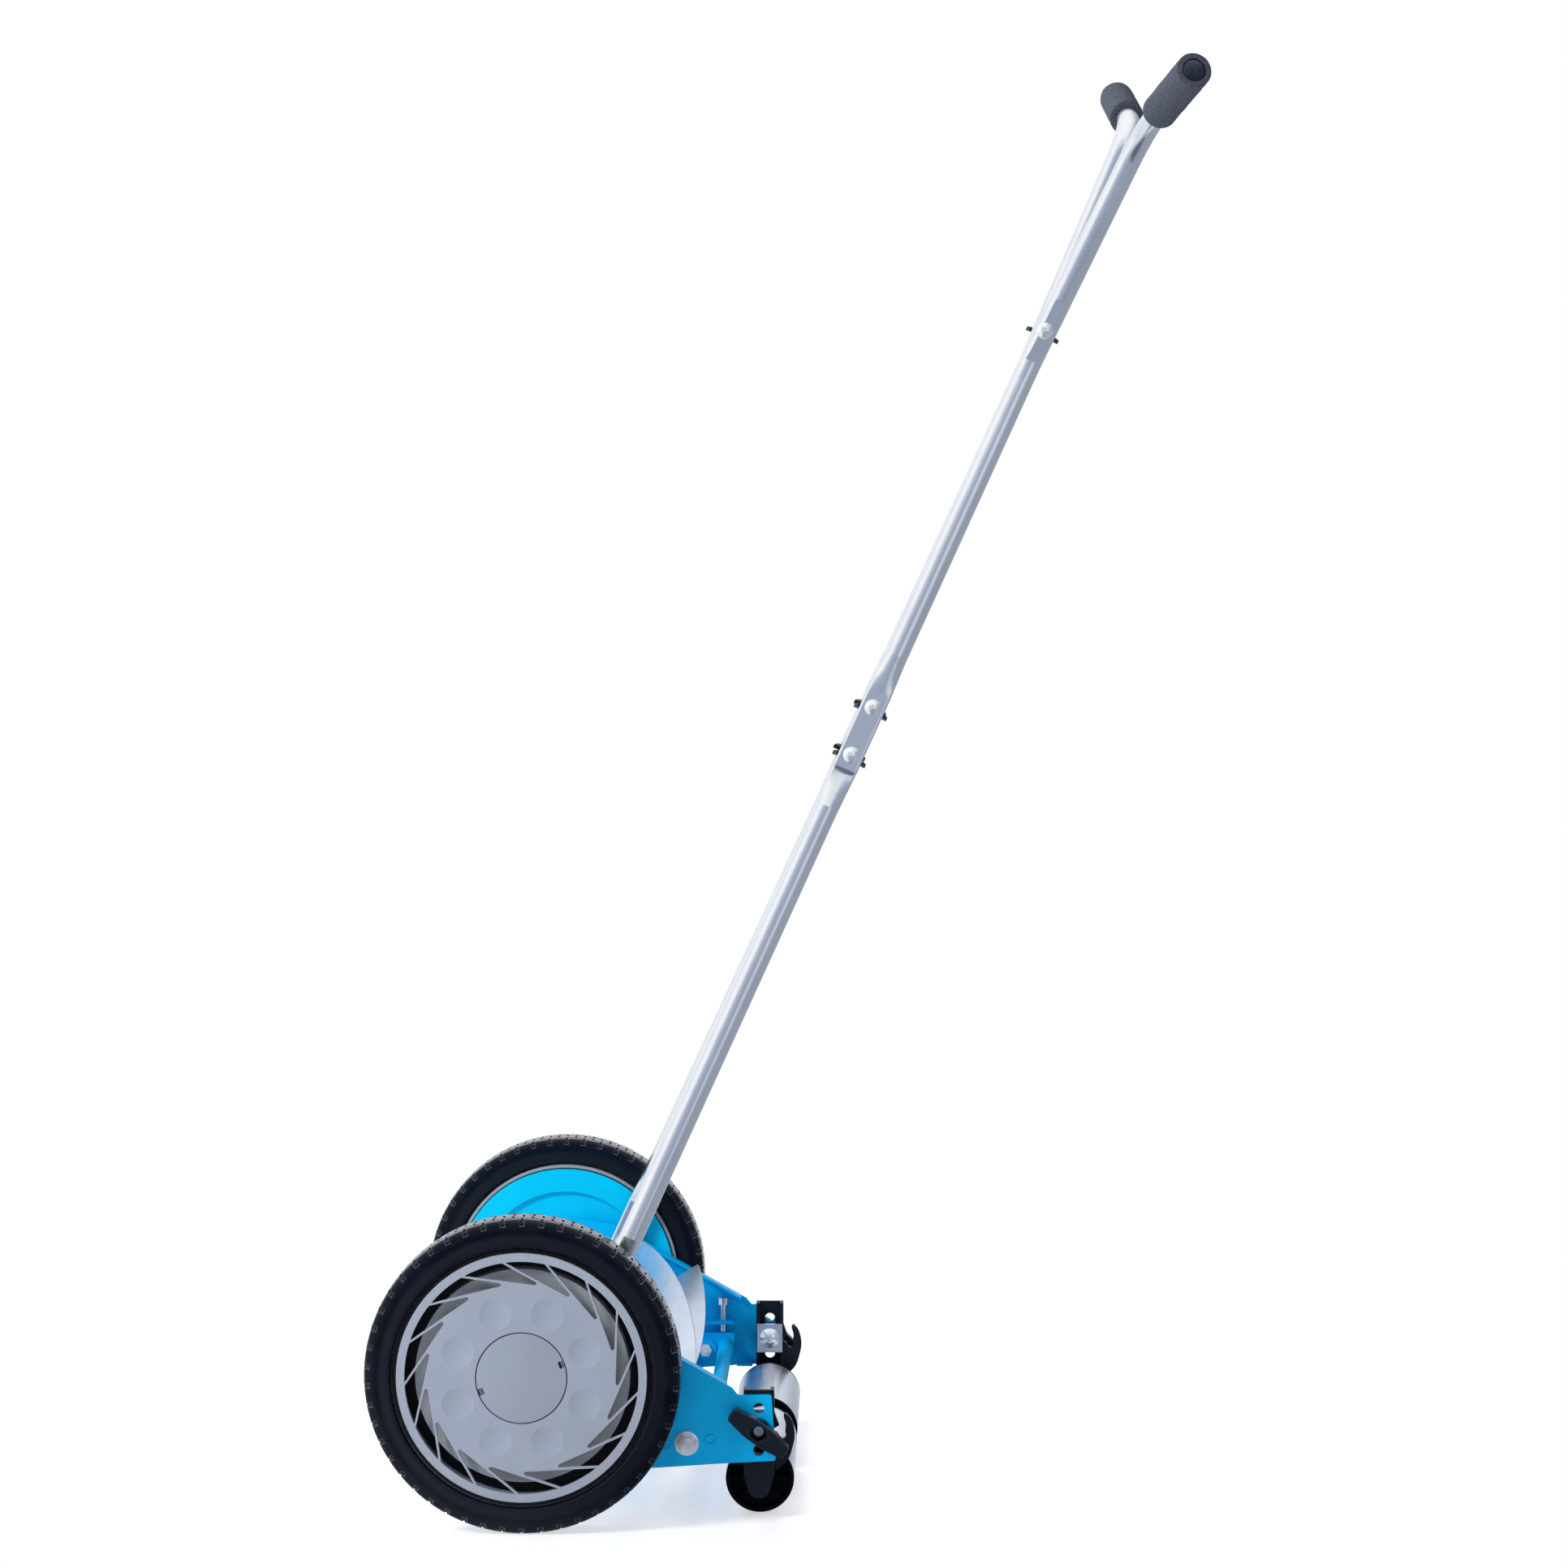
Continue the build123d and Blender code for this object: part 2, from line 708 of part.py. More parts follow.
def make_bed_knife():
    bottom = knife_top_z - knife_sheet
    section = outline([
        (knife_front_y, knife_top_z), (knife_rear_y, knife_top_z), (knife_rear_y, bottom),
        (knife_front_y + knife_bevel, bottom), (knife_front_y, knife_top_z - knife_lip),
    ])
    knife = slab(-knife_length / 2, knife_length / 2, section)
    for x in rivet_stations():
        knife -= Location((x, rivet_y, knife_top_z)) * Cylinder(rivet_radius + seat_fit, 4 * knife_sheet)
    return knife


def rivet_stations():
    return [rivet_pitch * (index - (rivet_count - 1) / 2) for index in range(rivet_count)]


def make_rivets():
    rivets = []
    bottom = knife_top_z - knife_sheet
    for x in rivet_stations():
        middle = Location((x, rivet_y, (bottom + bar_top_z) / 2))
        rivet = middle * Cylinder(rivet_radius, bar_top_z - bottom)
        for head_z in (bottom - rivet_head / 2, bar_top_z + rivet_head / 2):
            rivet += Location((x, rivet_y, head_z)) * Cylinder(rivet_head_radius, rivet_head)
        rivets.append(rivet.solid())
    return Compound(children=rivets)


def make_knife_carrier():
    carrier = block(-arm_inner_x, arm_inner_x, bar_front_y, bar_rear_y, knife_top_z, bar_top_z)
    for x in rivet_stations():
        hole = Cylinder(rivet_radius + seat_fit, 4 * carrier_bar_sheet)
        carrier -= Location((x, rivet_y, knife_top_z)) * hole
    arm_shape = outline([
        (bar_front_y, knife_top_z), (bar_rear_y, knife_top_z), (arm_rear_y, axle_z - arm_rear_drop),
        (arm_rear_y, arm_top_z), (arm_front_y, arm_top_z), (bar_front_y, bar_top_z),
    ])
    arm = slab(arm_inner_x, arm_outer_x, arm_shape)
    arm += rod(arm_inner_x - pivot_boss, arm_inner_x, pivot_boss_radius, knife_pivot)
    arm += rod(arm_outer_x, plate_inner_x - side_gap, pivot_boss_radius, knife_pivot)
    carrier += arm + other_side(arm)
    cross_tube = (cross_tube_y, axle_z - cross_tube_drop)
    carrier += rod(-arm_inner_x, arm_inner_x, cross_tube_radius, cross_tube)
    bore = small_bolt_radius + screw_fit
    return carrier - rod(-plate_inner_x, plate_inner_x, bore, knife_pivot)


knife_nut_x = arm_inner_x - pivot_boss - side_gap - small_nut


def make_knife_pivot_bolt():
    head_x = plate_outer_x + knife_bolt_flange
    bolt = rod(knife_nut_x - bolt_end, plate_outer_x, small_bolt_radius, knife_pivot)
    bolt += rod(plate_outer_x, head_x, knife_bolt_flange_radius, knife_pivot)
    return bolt + hexagon(head_x, head_x + knife_bolt_head, knife_bolt_width, knife_pivot)


def make_knife_pivot_nut():
    end = knife_nut_x + small_nut
    nut = hexagon(knife_nut_x, end, small_nut_width, knife_pivot)
    return nut - rod(knife_nut_x - 1, end + 1, small_bolt_radius + screw_fit, knife_pivot)


def make_adjuster():
    bottom = arm_top_z + adjuster_tip_gap
    head_bottom = arm_top_z + tab_gap + tab_sheet + adjuster_head_gap
    place = Location((adjuster_x, adjuster_y, 0))
    shank_middle = Location((0, 0, (bottom + head_bottom) / 2))
    screw = shank_middle * Cylinder(small_bolt_radius, head_bottom - bottom)
    screw += Location((0, 0, head_bottom + adjuster_head / 2)) * Cylinder(adjuster_head_radius, adjuster_head)
    groove = Box(adjuster_groove, 3 * adjuster_head_radius, 2 * adjuster_groove_depth)
    screw -= Location((0, 0, head_bottom + adjuster_head), (0, 0, adjuster_groove_turn)) * groove
    return place * screw


bracket_rear_y = roller_y + bracket_width / 2
hook_x = bracket_inner_x + hook_set_in
hook_mouth = (bracket_rear_y + hook_reach, axle_z - hook_drop)
# The edge of the hook, behind and above its mouth: up the throat, over the tip and down the back
hook_throat = [
    (-4.2, -2.7), (-2.5, -4.4), (-1.0, -6.9), (1.2, -8.0), (3.3, -6.9), (3.7, -4.0), (3.3, -1.0),
    (3.6, 2.5), (3.3, 6.0), (2.2, 9.5), (2.0, 11.6),
]
hook_tip = (3.2, 12.7)
hook_back = [
    (4.7, 12.0), (7.3, 9.1), (9.5, 4.0), (10.7, -2.0), (10.7, -7.5), (9.3, -14.0), (5.8, -24.0), (0.0, -30.5),
]
hook_root = -34.0
catch_top = 14.0
catch_point = (-1.8, 3.0)
catch_foot = 0.9


def make_roller_bracket():
    half = bracket_width / 2
    corner_z = roller_radius + bracket_flange_rise + bracket_corner
    half_web = [(half, bracket_top_z), (half, corner_z), (bracket_tab_radius, roller_radius)]
    web = outline(half_web + [(-y, z) for y, z in reversed(half_web)])
    bracket = slab(bracket_web_x, bracket_outer_x, Location((roller_y, 0)) * web)
    bracket += rod(bracket_web_x, bracket_outer_x, bracket_tab_radius, roller_point)
    inside = half - bracket_wall
    for way in (1, -1):
        flange = outline([
            (way * half, bracket_top_z), (way * half, corner_z),
            (way * inside, corner_z - bracket_corner), (way * inside, bracket_top_z),
        ])
        bracket += slab(bracket_inner_x, bracket_web_x, Location((roller_y, 0)) * flange)
    boss_x = roller_outer_x + roller_hub + hub_end_gap
    bracket += rod(boss_x, bracket_web_x, cap_hub_radius, roller_point)
    bracket -= rod(boss_x - 1, bracket_web_x, roller_axle_radius + seat_fit, roller_point)
    slot = SlotOverall(2 * slot_half_length, slot_width, rotation=90)
    bracket -= slab(bracket_web_x - 1, bracket_outer_x + 1, Location(clamp_point) * slot)
    return bracket + make_hook()


def make_hook():
    """A hook behind the bracket, open towards the top, with a catch over its mouth."""
    root = -hook_reach
    mouth = Spline((root, hook_throat[0][1]), *hook_throat)
    tip = ThreePointArc(hook_throat[-1], hook_tip, hook_back[0])
    back = Spline(*hook_back, (root, hook_root))
    hook = make_face([mouth, tip, back, Line((root, hook_root), (root, hook_throat[0][1]))])
    hook += outline([(root, catch_top), catch_point, (root, catch_foot)])
    return slab(hook_x, hook_x + hook_sheet, Location(hook_mouth) * hook)


def make_roller_axle():
    return rod(-bracket_web_x, bracket_web_x, roller_axle_radius, roller_point)


def make_roller_tube():
    start = roller_inner_x + cap_flange
    end = roller_outer_x - cap_flange
    return ring(start, end, roller_radius, roller_radius - roller_wall, roller_point)


def make_roller_cap():
    """The outer end cap: a flange, a spigot in the tube, a ribbed recess and a hub."""
    shoulder = roller_outer_x - cap_flange
    bottom = shoulder - cap_spigot
    spigot_radius = roller_radius - roller_wall - cap_fit_in_tube
    cap = rod(shoulder, roller_outer_x, roller_radius, roller_point)
    cap += rod(bottom, shoulder, spigot_radius, roller_point)
    hub_x = roller_outer_x + roller_hub
    cap -= rod(roller_outer_x - cap_recess, roller_outer_x + 1, spigot_radius - cap_wall, roller_point)
    rib_reach = spigot_radius - cap_wall / 2
    rib = Location((0, rib_reach / 2)) * Rectangle(cap_rib_sheet, rib_reach)
    ribs = Sketch() + [Rot(0, 0, 360.0 * index / cap_rib_count) * rib for index in range(cap_rib_count)]
    cap += slab(bottom, roller_outer_x - cap_rib_drop, Location(roller_point) * ribs)
    cap += rod(bottom, hub_x, cap_hub_radius, roller_point)
    return cap - rod(bottom - 1, hub_x + 1, roller_axle_radius + running_fit, roller_point)


def make_roller_caps():
    outer = make_roller_cap()
    middle = roller_inner_x + roller_half_length / 2
    inner = mirror(outer, about=Plane.YZ.offset(middle))
    return Compound(children=[outer.solid(), inner.solid()])


clamp_plate_x = bracket_inner_x - clamp_plate_gap - clamp_plate_sheet
knob_start_x = plate_outer_x + side_gap
knob_face_x = knob_start_x + knob_boss + knob_wing


def make_clamp_bolt():
    bolt = rod(clamp_plate_x, knob_face_x - clamp_bolt_recess, clamp_bolt_radius, clamp_point)
    return bolt + dome(clamp_plate_x, clamp_head, clamp_head_radius, clamp_point, -1)


def make_clamp_plate():
    shape = Location(clamp_point) * Rectangle(clamp_plate_width, clamp_plate_height)
    plate = slab(clamp_plate_x, clamp_plate_x + clamp_plate_sheet, shape)
    return plate - rod(clamp_plate_x - 1, bracket_inner_x + 1, clamp_bolt_radius + screw_fit, clamp_point)


def make_wing_knob():
    knob = rod(knob_start_x, knob_start_x + knob_boss, knob_boss_radius, clamp_point)
    upper = [(knob_length / 2, knob_end / 2), (knob_middle / 2, knob_middle / 2)]
    upper += [(-y, z) for y, z in reversed(upper)]
    shape = outline(upper + [(y, -z) for y, z in reversed(upper)], knob_corner)
    placed = Location(clamp_point) * Rot(0, 0, knob_tilt) * shape
    wing = slab(knob_start_x + knob_boss, knob_face_x, placed)
    wing = fillet(wing.faces().sort_by(Axis.X)[-1].edges(), knob_face_round)
    knob += wing
    knob -= rod(knob_start_x - 1, knob_face_x + 1, clamp_bolt_radius + running_fit, clamp_point)
    return knob - rod(knob_face_x - knob_well_depth, knob_face_x + 1, knob_well_radius, clamp_point)


# The handle lies in a plane that leans back from the pivot bolts
up = Vector(0, sin(lean), cos(lean))
across = Vector(0, cos(lean), -sin(lean))
pivot_origin = Vector(0, *handle_pivot)
meeting_x = tube_radius + meeting_gap / 2
foot_x = plate_inner_x - foot_gap - flat_sheet / 2
leg_x = foot_x - foot_kink
meeting_outer_x = meeting_x + tube_radius - meeting_flat
leg_slope = (leg_x - meeting_x) / (meeting_point - foot_round_start)
leg_direction = (up - Vector(leg_slope, 0, 0)).normalized()


def leg_point(station):
    """A point on the straight line of a leg, by its distance up the handle."""
    return pivot_origin + up * station + Vector(leg_x - leg_slope * (station - foot_round_start), 0, 0)


def leg_plane(station):
    return Plane(origin=leg_point(station), x_dir=across, z_dir=leg_direction)


def flat_section(plane, offset=0.0):
    flat = Rectangle(flat_width, flat_sheet)
    flat = fillet(flat.vertices(), flat_corner)
    return plane * Location((0, offset)) * flat


def flat_run(low, high, offset):
    """A pressed-flat stretch of tube between two stations on a leg."""
    length = (leg_point(high) - leg_point(low)).length
    return extrude(flat_section(leg_plane(low), offset), amount=length)


def leg_hole(station):
    return leg_plane(station) * Rot(90, 0, 0) * Cylinder(small_bolt_radius + bolt_fit, 8 * flat_sheet)


lap_low = joint_bolt_low - joint_margin
lap_high = joint_bolt_high + joint_margin
lap_offset = flat_sheet / 2 + flat_gap / 2
# Which way along the local Y of a leg's plane the outside of the mower lies
outer_way = 1.0 if leg_plane(0.0).y_dir.X > 0 else -1.0


def foot_plane(station):
    return Plane(origin=pivot_origin + up * station + Vector(foot_x, 0, 0), x_dir=across, z_dir=up)


def make_lower_tube():
    foot_low = -foot_overhang
    foot = extrude(flat_section(foot_plane(foot_low)), amount=foot_flat_end - foot_low)
    round_start = leg_plane(foot_round_start) * Circle(tube_radius)
    shank = loft([flat_section(foot_plane(foot_flat_end)), round_start])
    round_top = lap_low - joint_run_out
    length = (leg_point(round_top) - leg_point(foot_round_start)).length
    middle = extrude(round_start, amount=length)
    middle -= extrude(leg_plane(foot_round_start) * Circle(tube_radius - tube_wall), amount=length)
    round_end = leg_plane(round_top) * Circle(tube_radius)
    neck = loft([round_end, flat_section(leg_plane(lap_low), -outer_way * lap_offset)])
    lap = flat_run(lap_low, lap_high, -outer_way * lap_offset)
    tube = foot + shank + middle + neck + lap
    tube -= rod(leg_x, plate_inner_x + 1, pivot_bolt_radius + bolt_fit, handle_pivot)
    return tube - leg_hole(joint_bolt_low) - leg_hole(joint_bolt_high)


# The two upper tubes are turned a little about the handle's own line, one back and one forward
tube_end_station = grip_length - plug_set_in


def top_corner(turn):
    return pivot_origin + up * handle_top + across * (turn * top_splay) + Vector(meeting_x, 0, 0)


def grip_plane(turn):
    """The plane of the inner end of a left-hand grip, with its local Z along the grip."""
    straight = Vector(grip_out, grip_back, grip_rise).normalized()
    direction = straight.rotate(Axis((0, 0, 0), up), turn * grip_twist)
    return Plane(origin=top_corner(turn) + direction * grip_start, x_dir=(0, 1, 0), z_dir=direction)


def make_upper_tube(turn):
    lap = flat_run(lap_low, lap_high, outer_way * lap_offset)
    round_low = lap_high + joint_run_out
    round_start = leg_plane(round_low) * Circle(tube_radius)
    neck = loft([flat_section(leg_plane(lap_high), outer_way * lap_offset), round_start])
    meeting = pivot_origin + up * meeting_point + Vector(meeting_x, 0, 0)
    end = grip_plane(turn)
    tube_end = end.origin + end.z_dir * tube_end_station
    corners = [leg_point(round_low), meeting, top_corner(turn), tube_end]
    path = FilletPolyline(*corners, radius=[meeting_bend, grip_bend])
    bent = sweep(round_start, path=path)
    bent -= sweep(leg_plane(round_low) * Circle(tube_radius - tube_wall), path=path)
    bolt_point = pivot_origin + up * meeting_bolt
    flat_plane = Plane(origin=bolt_point, x_dir=(1, 0, 0), z_dir=up)
    pressed = Box(2 * tube_radius, 3 * tube_radius, meeting_flat_length)
    bent -= flat_plane * Location((meeting_outer_x + tube_radius, 0)) * pressed
    bolt_centre = (bolt_point.Y, bolt_point.Z)
    bent -= rod(-1, meeting_x + 2 * tube_radius, small_bolt_radius + bolt_fit, bolt_centre)
    tube = lap + neck + bent
    return tube - leg_hole(joint_bolt_low) - leg_hole(joint_bolt_high)


def make_grip(turn):
    middle = grip_plane(turn) * Location((0, 0, grip_length / 2))
    grip = middle * Cylinder(grip_radius, grip_length)
    grip = fillet(grip.edges().filter_by(GeomType.CIRCLE), grip_corner)
    return grip - middle * Cylinder(tube_radius + grip_fit, grip_length + 2)


def make_grip_plug(turn):
    end = grip_plane(turn) * Location((0, 0, tube_end_station))
    spigot = Cylinder(tube_radius - tube_wall - rim_fit, plug_spigot)
    return end * (dome_cap(tube_radius, plug_dome) + Location((0, 0, -plug_spigot / 2)) * spigot)


def make_joint_bolt(station):
    """A dome-headed bolt across the lapped flats of a leg; its head is on the outside."""
    stack = flat_sheet + flat_gap / 2
    shank_length = 2 * stack + wing_nut_hub + bolt_overhang
    bolt = Location((0, 0, stack - shank_length / 2)) * Cylinder(small_bolt_radius, shank_length)
    bolt += Location((0, 0, stack)) * dome_cap(dome_head_radius, dome_head)
    return leg_plane(station) * Rot(-90 * outer_way, 0, 0) * bolt


def wing_nut(place):
    """A wing nut standing on the XY plane of a place, with its wings along local X."""
    nut = Location((0, 0, wing_nut_hub / 2)) * Cylinder(wing_nut_hub_radius, wing_nut_hub)
    half = wing_nut_span / 2
    root = wing_nut_hub_radius - wing_nut_root
    shape = outline([
        (root, wing_nut_foot), (half - wing_nut_slant, wing_nut_slant), (half, wing_nut_rise),
        (half - wing_nut_tip, wing_nut_rise), (root, wing_nut_hub - wing_nut_foot),
    ])
    wing = extrude(Plane.XZ * shape, amount=wing_nut_sheet / 2, both=True)
    nut += wing + mirror(wing, about=Plane.YZ)
    return place * (nut - Cylinder(small_bolt_radius + screw_fit, 6 * wing_nut_hub))


def make_joint_nut(station):
    stack = flat_sheet + flat_gap / 2
    plane = leg_plane(station) * Rot(90 * outer_way, 0, 0)
    return wing_nut(plane * Location((0, 0, stack)))


def make_meeting_bolt():
    point = pivot_origin + up * meeting_bolt
    centre = (point.Y, point.Z)
    end = -meeting_outer_x - wing_nut_hub - bolt_overhang
    bolt = rod(end, meeting_outer_x, small_bolt_radius, centre)
    return bolt + dome(meeting_outer_x, dome_head, dome_head_radius, centre, 1)


def make_meeting_nut():
    point = pivot_origin + up * meeting_bolt
    plane = Plane(origin=(-meeting_outer_x, point.Y, point.Z), x_dir=across, z_dir=(-1, 0, 0))
    return wing_nut(plane.location)


def make_handle_bolts():
    bolts = []
    for station in (joint_bolt_low, joint_bolt_high):
        bolt = make_joint_bolt(station)
        bolts += [bolt.solid(), other_side(bolt).solid()]
    bolts.append(make_meeting_bolt().solid())
    return Compound(children=bolts)


def make_handle_nuts():
    nuts = []
    for station in (joint_bolt_low, joint_bolt_high):
        nut = make_joint_nut(station)
        nuts += [nut.solid(), other_side(nut).solid()]
    nuts.append(make_meeting_nut().solid())
    return Compound(children=nuts)


pivot_nut_x = foot_x - flat_sheet / 2 - side_gap - pivot_nut


def make_handle_pivot_bolt():
    bolt = rod(pivot_nut_x - bolt_overhang, plate_outer_x, pivot_bolt_radius, handle_pivot)
    return bolt + dome(plate_outer_x, pivot_bolt_head, pivot_bolt_head_radius, handle_pivot, 1)


def make_handle_pivot_nut():
    end = pivot_nut_x + pivot_nut
    nut = hexagon(pivot_nut_x, end, pivot_nut_width, handle_pivot)
    return nut - rod(pivot_nut_x - 1, end + 1, pivot_bolt_radius + screw_fit, handle_pivot)


def sides(name, shape):
    return {"left_" + name: shape, "right_" + name: other_side(shape)}


def turned_sides(name, make):
    """A piece of the twisted handle top: its two sides turn opposite ways."""
    return {"left_" + name: make(1), "right_" + name: other_side(make(-1))}


nodes = {}
nodes |= sides("tyre", make_tyre())
nodes |= sides("wheel_rim", make_wheel_rim())
nodes |= sides("hubcap", make_hubcap())
nodes |= sides("centre_cap", make_centre_cap())
nodes |= sides("pinion", make_pinion())
nodes |= sides("side_plate", make_side_plate())
nodes |= sides("gear_cover", make_gear_cover())
nodes |= sides("adjusting_screw", make_adjuster())
nodes |= sides("roller_bracket", make_roller_bracket())
nodes |= sides("roller_tube", make_roller_tube())
nodes |= sides("wing_knob", make_wing_knob())
nodes |= sides("lower_tube", make_lower_tube())
nodes |= turned_sides("upper_tube", make_upper_tube)
nodes |= turned_sides("grip", make_grip)
nodes["left_roller_caps"] = make_roller_caps()
nodes["right_roller_caps"] = other_side(nodes["left_roller_caps"])
nodes["stub_axles"] = pair(make_stub_axle())
nodes["axle_clips"] = pair(make_axle_clip())
nodes["drive_pawls"] = make_pawls()
nodes["pinion_clips"] = pair(make_pinion_clip())
nodes["reel_bearings"] = pair(make_reel_bearing())
nodes["reel_shaft"] = make_reel_shaft()
nodes["reel_spiders"] = make_spiders()
for blade_index in range(blade_count):
    nodes["reel_blade_" + str(blade_index + 1)] = make_blade(blade_index)
nodes["front_tie_rod"] = make_tie_rod()
nodes["tie_rod_screws"] = pair(make_tie_screw())
nodes["knife_carrier"] = make_knife_carrier()
nodes["bed_knife"] = make_bed_knife()
nodes["knife_rivets"] = make_rivets()
nodes["knife_pivot_bolts"] = pair(make_knife_pivot_bolt())
nodes["knife_pivot_nuts"] = pair(make_knife_pivot_nut())
nodes["roller_axle"] = make_roller_axle()
nodes["clamp_bolts"] = pair(make_clamp_bolt())
nodes["clamp_plates"] = pair(make_clamp_plate())
nodes["grip_plugs"] = Compound(children=[make_grip_plug(1).solid(), other_side(make_grip_plug(-1)).solid()])
nodes["handle_bolts"] = make_handle_bolts()
nodes["handle_wing_nuts"] = make_handle_nuts()
nodes["handle_pivot_bolts"] = pair(make_handle_pivot_bolt())
nodes["handle_pivot_nuts"] = pair(make_handle_pivot_nut())

# The origin goes to the ground under the middle of the whole object
boxes = [shape.bounding_box() for shape in nodes.values()]
front_y = min(box.min.Y for box in boxes)
rear_y = max(box.max.Y for box in boxes)
centre_shift = Location((0, -(front_y + rear_y) / 2, 0))
print("shift along Y", round(-(front_y + rear_y) / 2, 3))

os.makedirs("parts", exist_ok=True)
for node_name, shape in nodes.items():
    export_step(centre_shift * shape, "parts/" + node_name + ".step")
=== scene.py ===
import json
import math

import bpy
import numpy as np
from mathutils import Matrix, Vector


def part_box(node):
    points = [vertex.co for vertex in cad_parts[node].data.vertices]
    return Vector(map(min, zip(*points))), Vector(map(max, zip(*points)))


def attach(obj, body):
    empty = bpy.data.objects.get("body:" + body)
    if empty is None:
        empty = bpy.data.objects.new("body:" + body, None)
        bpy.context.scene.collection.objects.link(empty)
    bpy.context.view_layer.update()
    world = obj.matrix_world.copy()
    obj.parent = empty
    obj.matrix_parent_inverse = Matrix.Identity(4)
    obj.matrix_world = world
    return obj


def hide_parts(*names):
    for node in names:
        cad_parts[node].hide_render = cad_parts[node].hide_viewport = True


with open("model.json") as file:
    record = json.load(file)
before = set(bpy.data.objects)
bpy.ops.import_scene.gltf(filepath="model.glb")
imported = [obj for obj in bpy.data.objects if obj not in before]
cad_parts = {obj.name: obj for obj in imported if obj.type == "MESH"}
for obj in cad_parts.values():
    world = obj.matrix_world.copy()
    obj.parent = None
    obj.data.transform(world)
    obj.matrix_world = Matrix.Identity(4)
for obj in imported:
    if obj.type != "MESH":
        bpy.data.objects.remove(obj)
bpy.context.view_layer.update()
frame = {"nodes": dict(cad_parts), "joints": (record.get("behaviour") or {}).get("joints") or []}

nodes = frame["nodes"]
joints = {joint["name"]: joint for joint in frame["joints"]}
axle = Vector(joints["left_wheel_spin"]["pos_m"])  # the two wheels share its line
print("frame loaded,", len(nodes), "nodes")


# Small tools for edit mode
def deselectAll():
    if bpy.context.mode != "OBJECT":
        bpy.ops.object.mode_set(mode="OBJECT")
    bpy.ops.object.select_all(action="DESELECT")


def startEdit(piece):
    deselectAll()
    bpy.context.view_layer.objects.active = piece
    piece.select_set(True)
    bpy.ops.object.mode_set(mode="EDIT")


def pick(piece, kind, test):
    # selects vertices, edges or faces by a test on the element, and leaves edit mode on
    bpy.ops.object.mode_set(mode="EDIT")
    bpy.ops.mesh.select_mode(type=kind)
    bpy.ops.mesh.select_all(action="DESELECT")
    bpy.ops.object.mode_set(mode="OBJECT")
    mesh = piece.data
    elements = {"VERT": mesh.vertices, "EDGE": mesh.edges, "FACE": mesh.polygons}[kind]
    for element in elements:
        element.select = test(element)
    bpy.ops.object.mode_set(mode="EDIT")


def applyModifiers(piece):
    deselectAll()
    bpy.context.view_layer.objects.active = piece
    piece.select_set(True)
    for modifier in list(piece.modifiers):
        bpy.ops.object.modifier_apply(modifier=modifier.name)


def settle(piece):
    # the object goes to the origin, with its place in its mesh
    deselectAll()
    piece.select_set(True)
    bpy.context.view_layer.objects.active = piece
    bpy.ops.object.transform_apply(location=True, rotation=True, scale=True)


def ownCopy(piece, name):
    twin = piece.copy()
    twin.data = piece.data.copy()
    twin.name = name
    bpy.context.collection.objects.link(twin)
    return twin


# Shader maths: a socket that can be added, multiplied and compared
class Wire:
    def __init__(self, tree, socket):
        self.tree = tree
        self.socket = socket

    def node(self, kind, settings, inputs, output=0):
        made = self.tree.nodes.new("ShaderNode" + kind)
        for name, value in settings.items():
            if name == "stops":
                ramp = made.color_ramp.elements
                while len(ramp) < len(value):
                    ramp.new(1.0)
                for stop, (place, colour) in zip(ramp, value):
                    stop.position = place
                    stop.color = colour
            else:
                setattr(made, name, value)
        for name, value in inputs.items():
            if isinstance(value, Wire):
                self.tree.links.new(value.socket, made.inputs[name])
            else:
                made.inputs[name].default_value = value
        return Wire(self.tree, made.outputs[output])

    def maths(self, operation, first, second=0.0):
        return self.node("Math", {"operation": operation}, {0: first, 1: second})

    def __add__(self, other):
        return self.maths("ADD", self, other)

    def __radd__(self, other):
        return self.maths("ADD", other, self)

    def __sub__(self, other):
        return self.maths("SUBTRACT", self, other)

    def __rsub__(self, other):
        return self.maths("SUBTRACT", other, self)

    def __mul__(self, other):
        return self.maths("MULTIPLY", self, other)

    def __rmul__(self, other):
        return self.maths("MULTIPLY", other, self)

    def __gt__(self, other):
        return self.maths("GREATER_THAN", self, other)

    def __lt__(self, other):
        return self.maths("LESS_THAN", self, other)

    def axis(self, name):
        return self.node("SeparateXYZ", {}, {"Vector": self}, name)

    def moved(self, location=(0, 0, 0), turn=(0, 0, 0), size=(1, 1, 1)):
        inputs = {"Vector": self, "Location": location, "Rotation": turn, "Scale": size}
        return self.node("Mapping", {"vector_type": "POINT"}, inputs)

    def noise(self, scale, detail=3.0, rough=0.5):
        inputs = {"Vector": self, "Scale": scale, "Detail": detail, "Roughness": rough}
        return self.node("TexNoise", {}, inputs)

    def stretch(self, low, high, first=0.0, last=1.0):
        # a value between low and high becomes one between first and last, held at the ends
        inputs = {0: self, 1: low, 2: high, 3: first, 4: last}
        return self.node("MapRange", {"clamp": True}, inputs)

    def shades(self, first, second):
        # a colour between two others, by this value
        inputs = {"Factor": self, 6: tuple(first) + (1.0,), 7: tuple(second) + (1.0,)}
        return self.node("Mix", {"data_type": "RGBA"}, inputs, 2)

    def over(self, base, colour):
        # a plain colour laid over a changing one, by this value
        inputs = {"Factor": self, 6: base, 7: tuple(colour) + (1.0,)}
        return self.node("Mix", {"data_type": "RGBA"}, inputs, 2)

    def bump(self, depth, strength=1.0, rounding=0.0):
        # relief on the surface, over edges that are rounded by so much
        inputs = {"Height": self, "Distance": depth, "Strength": strength}
        if rounding:
            inputs["Normal"] = self.node("Bevel", {"samples": 4}, {"Radius": rounding})
        return self.node("Bump", {}, inputs)


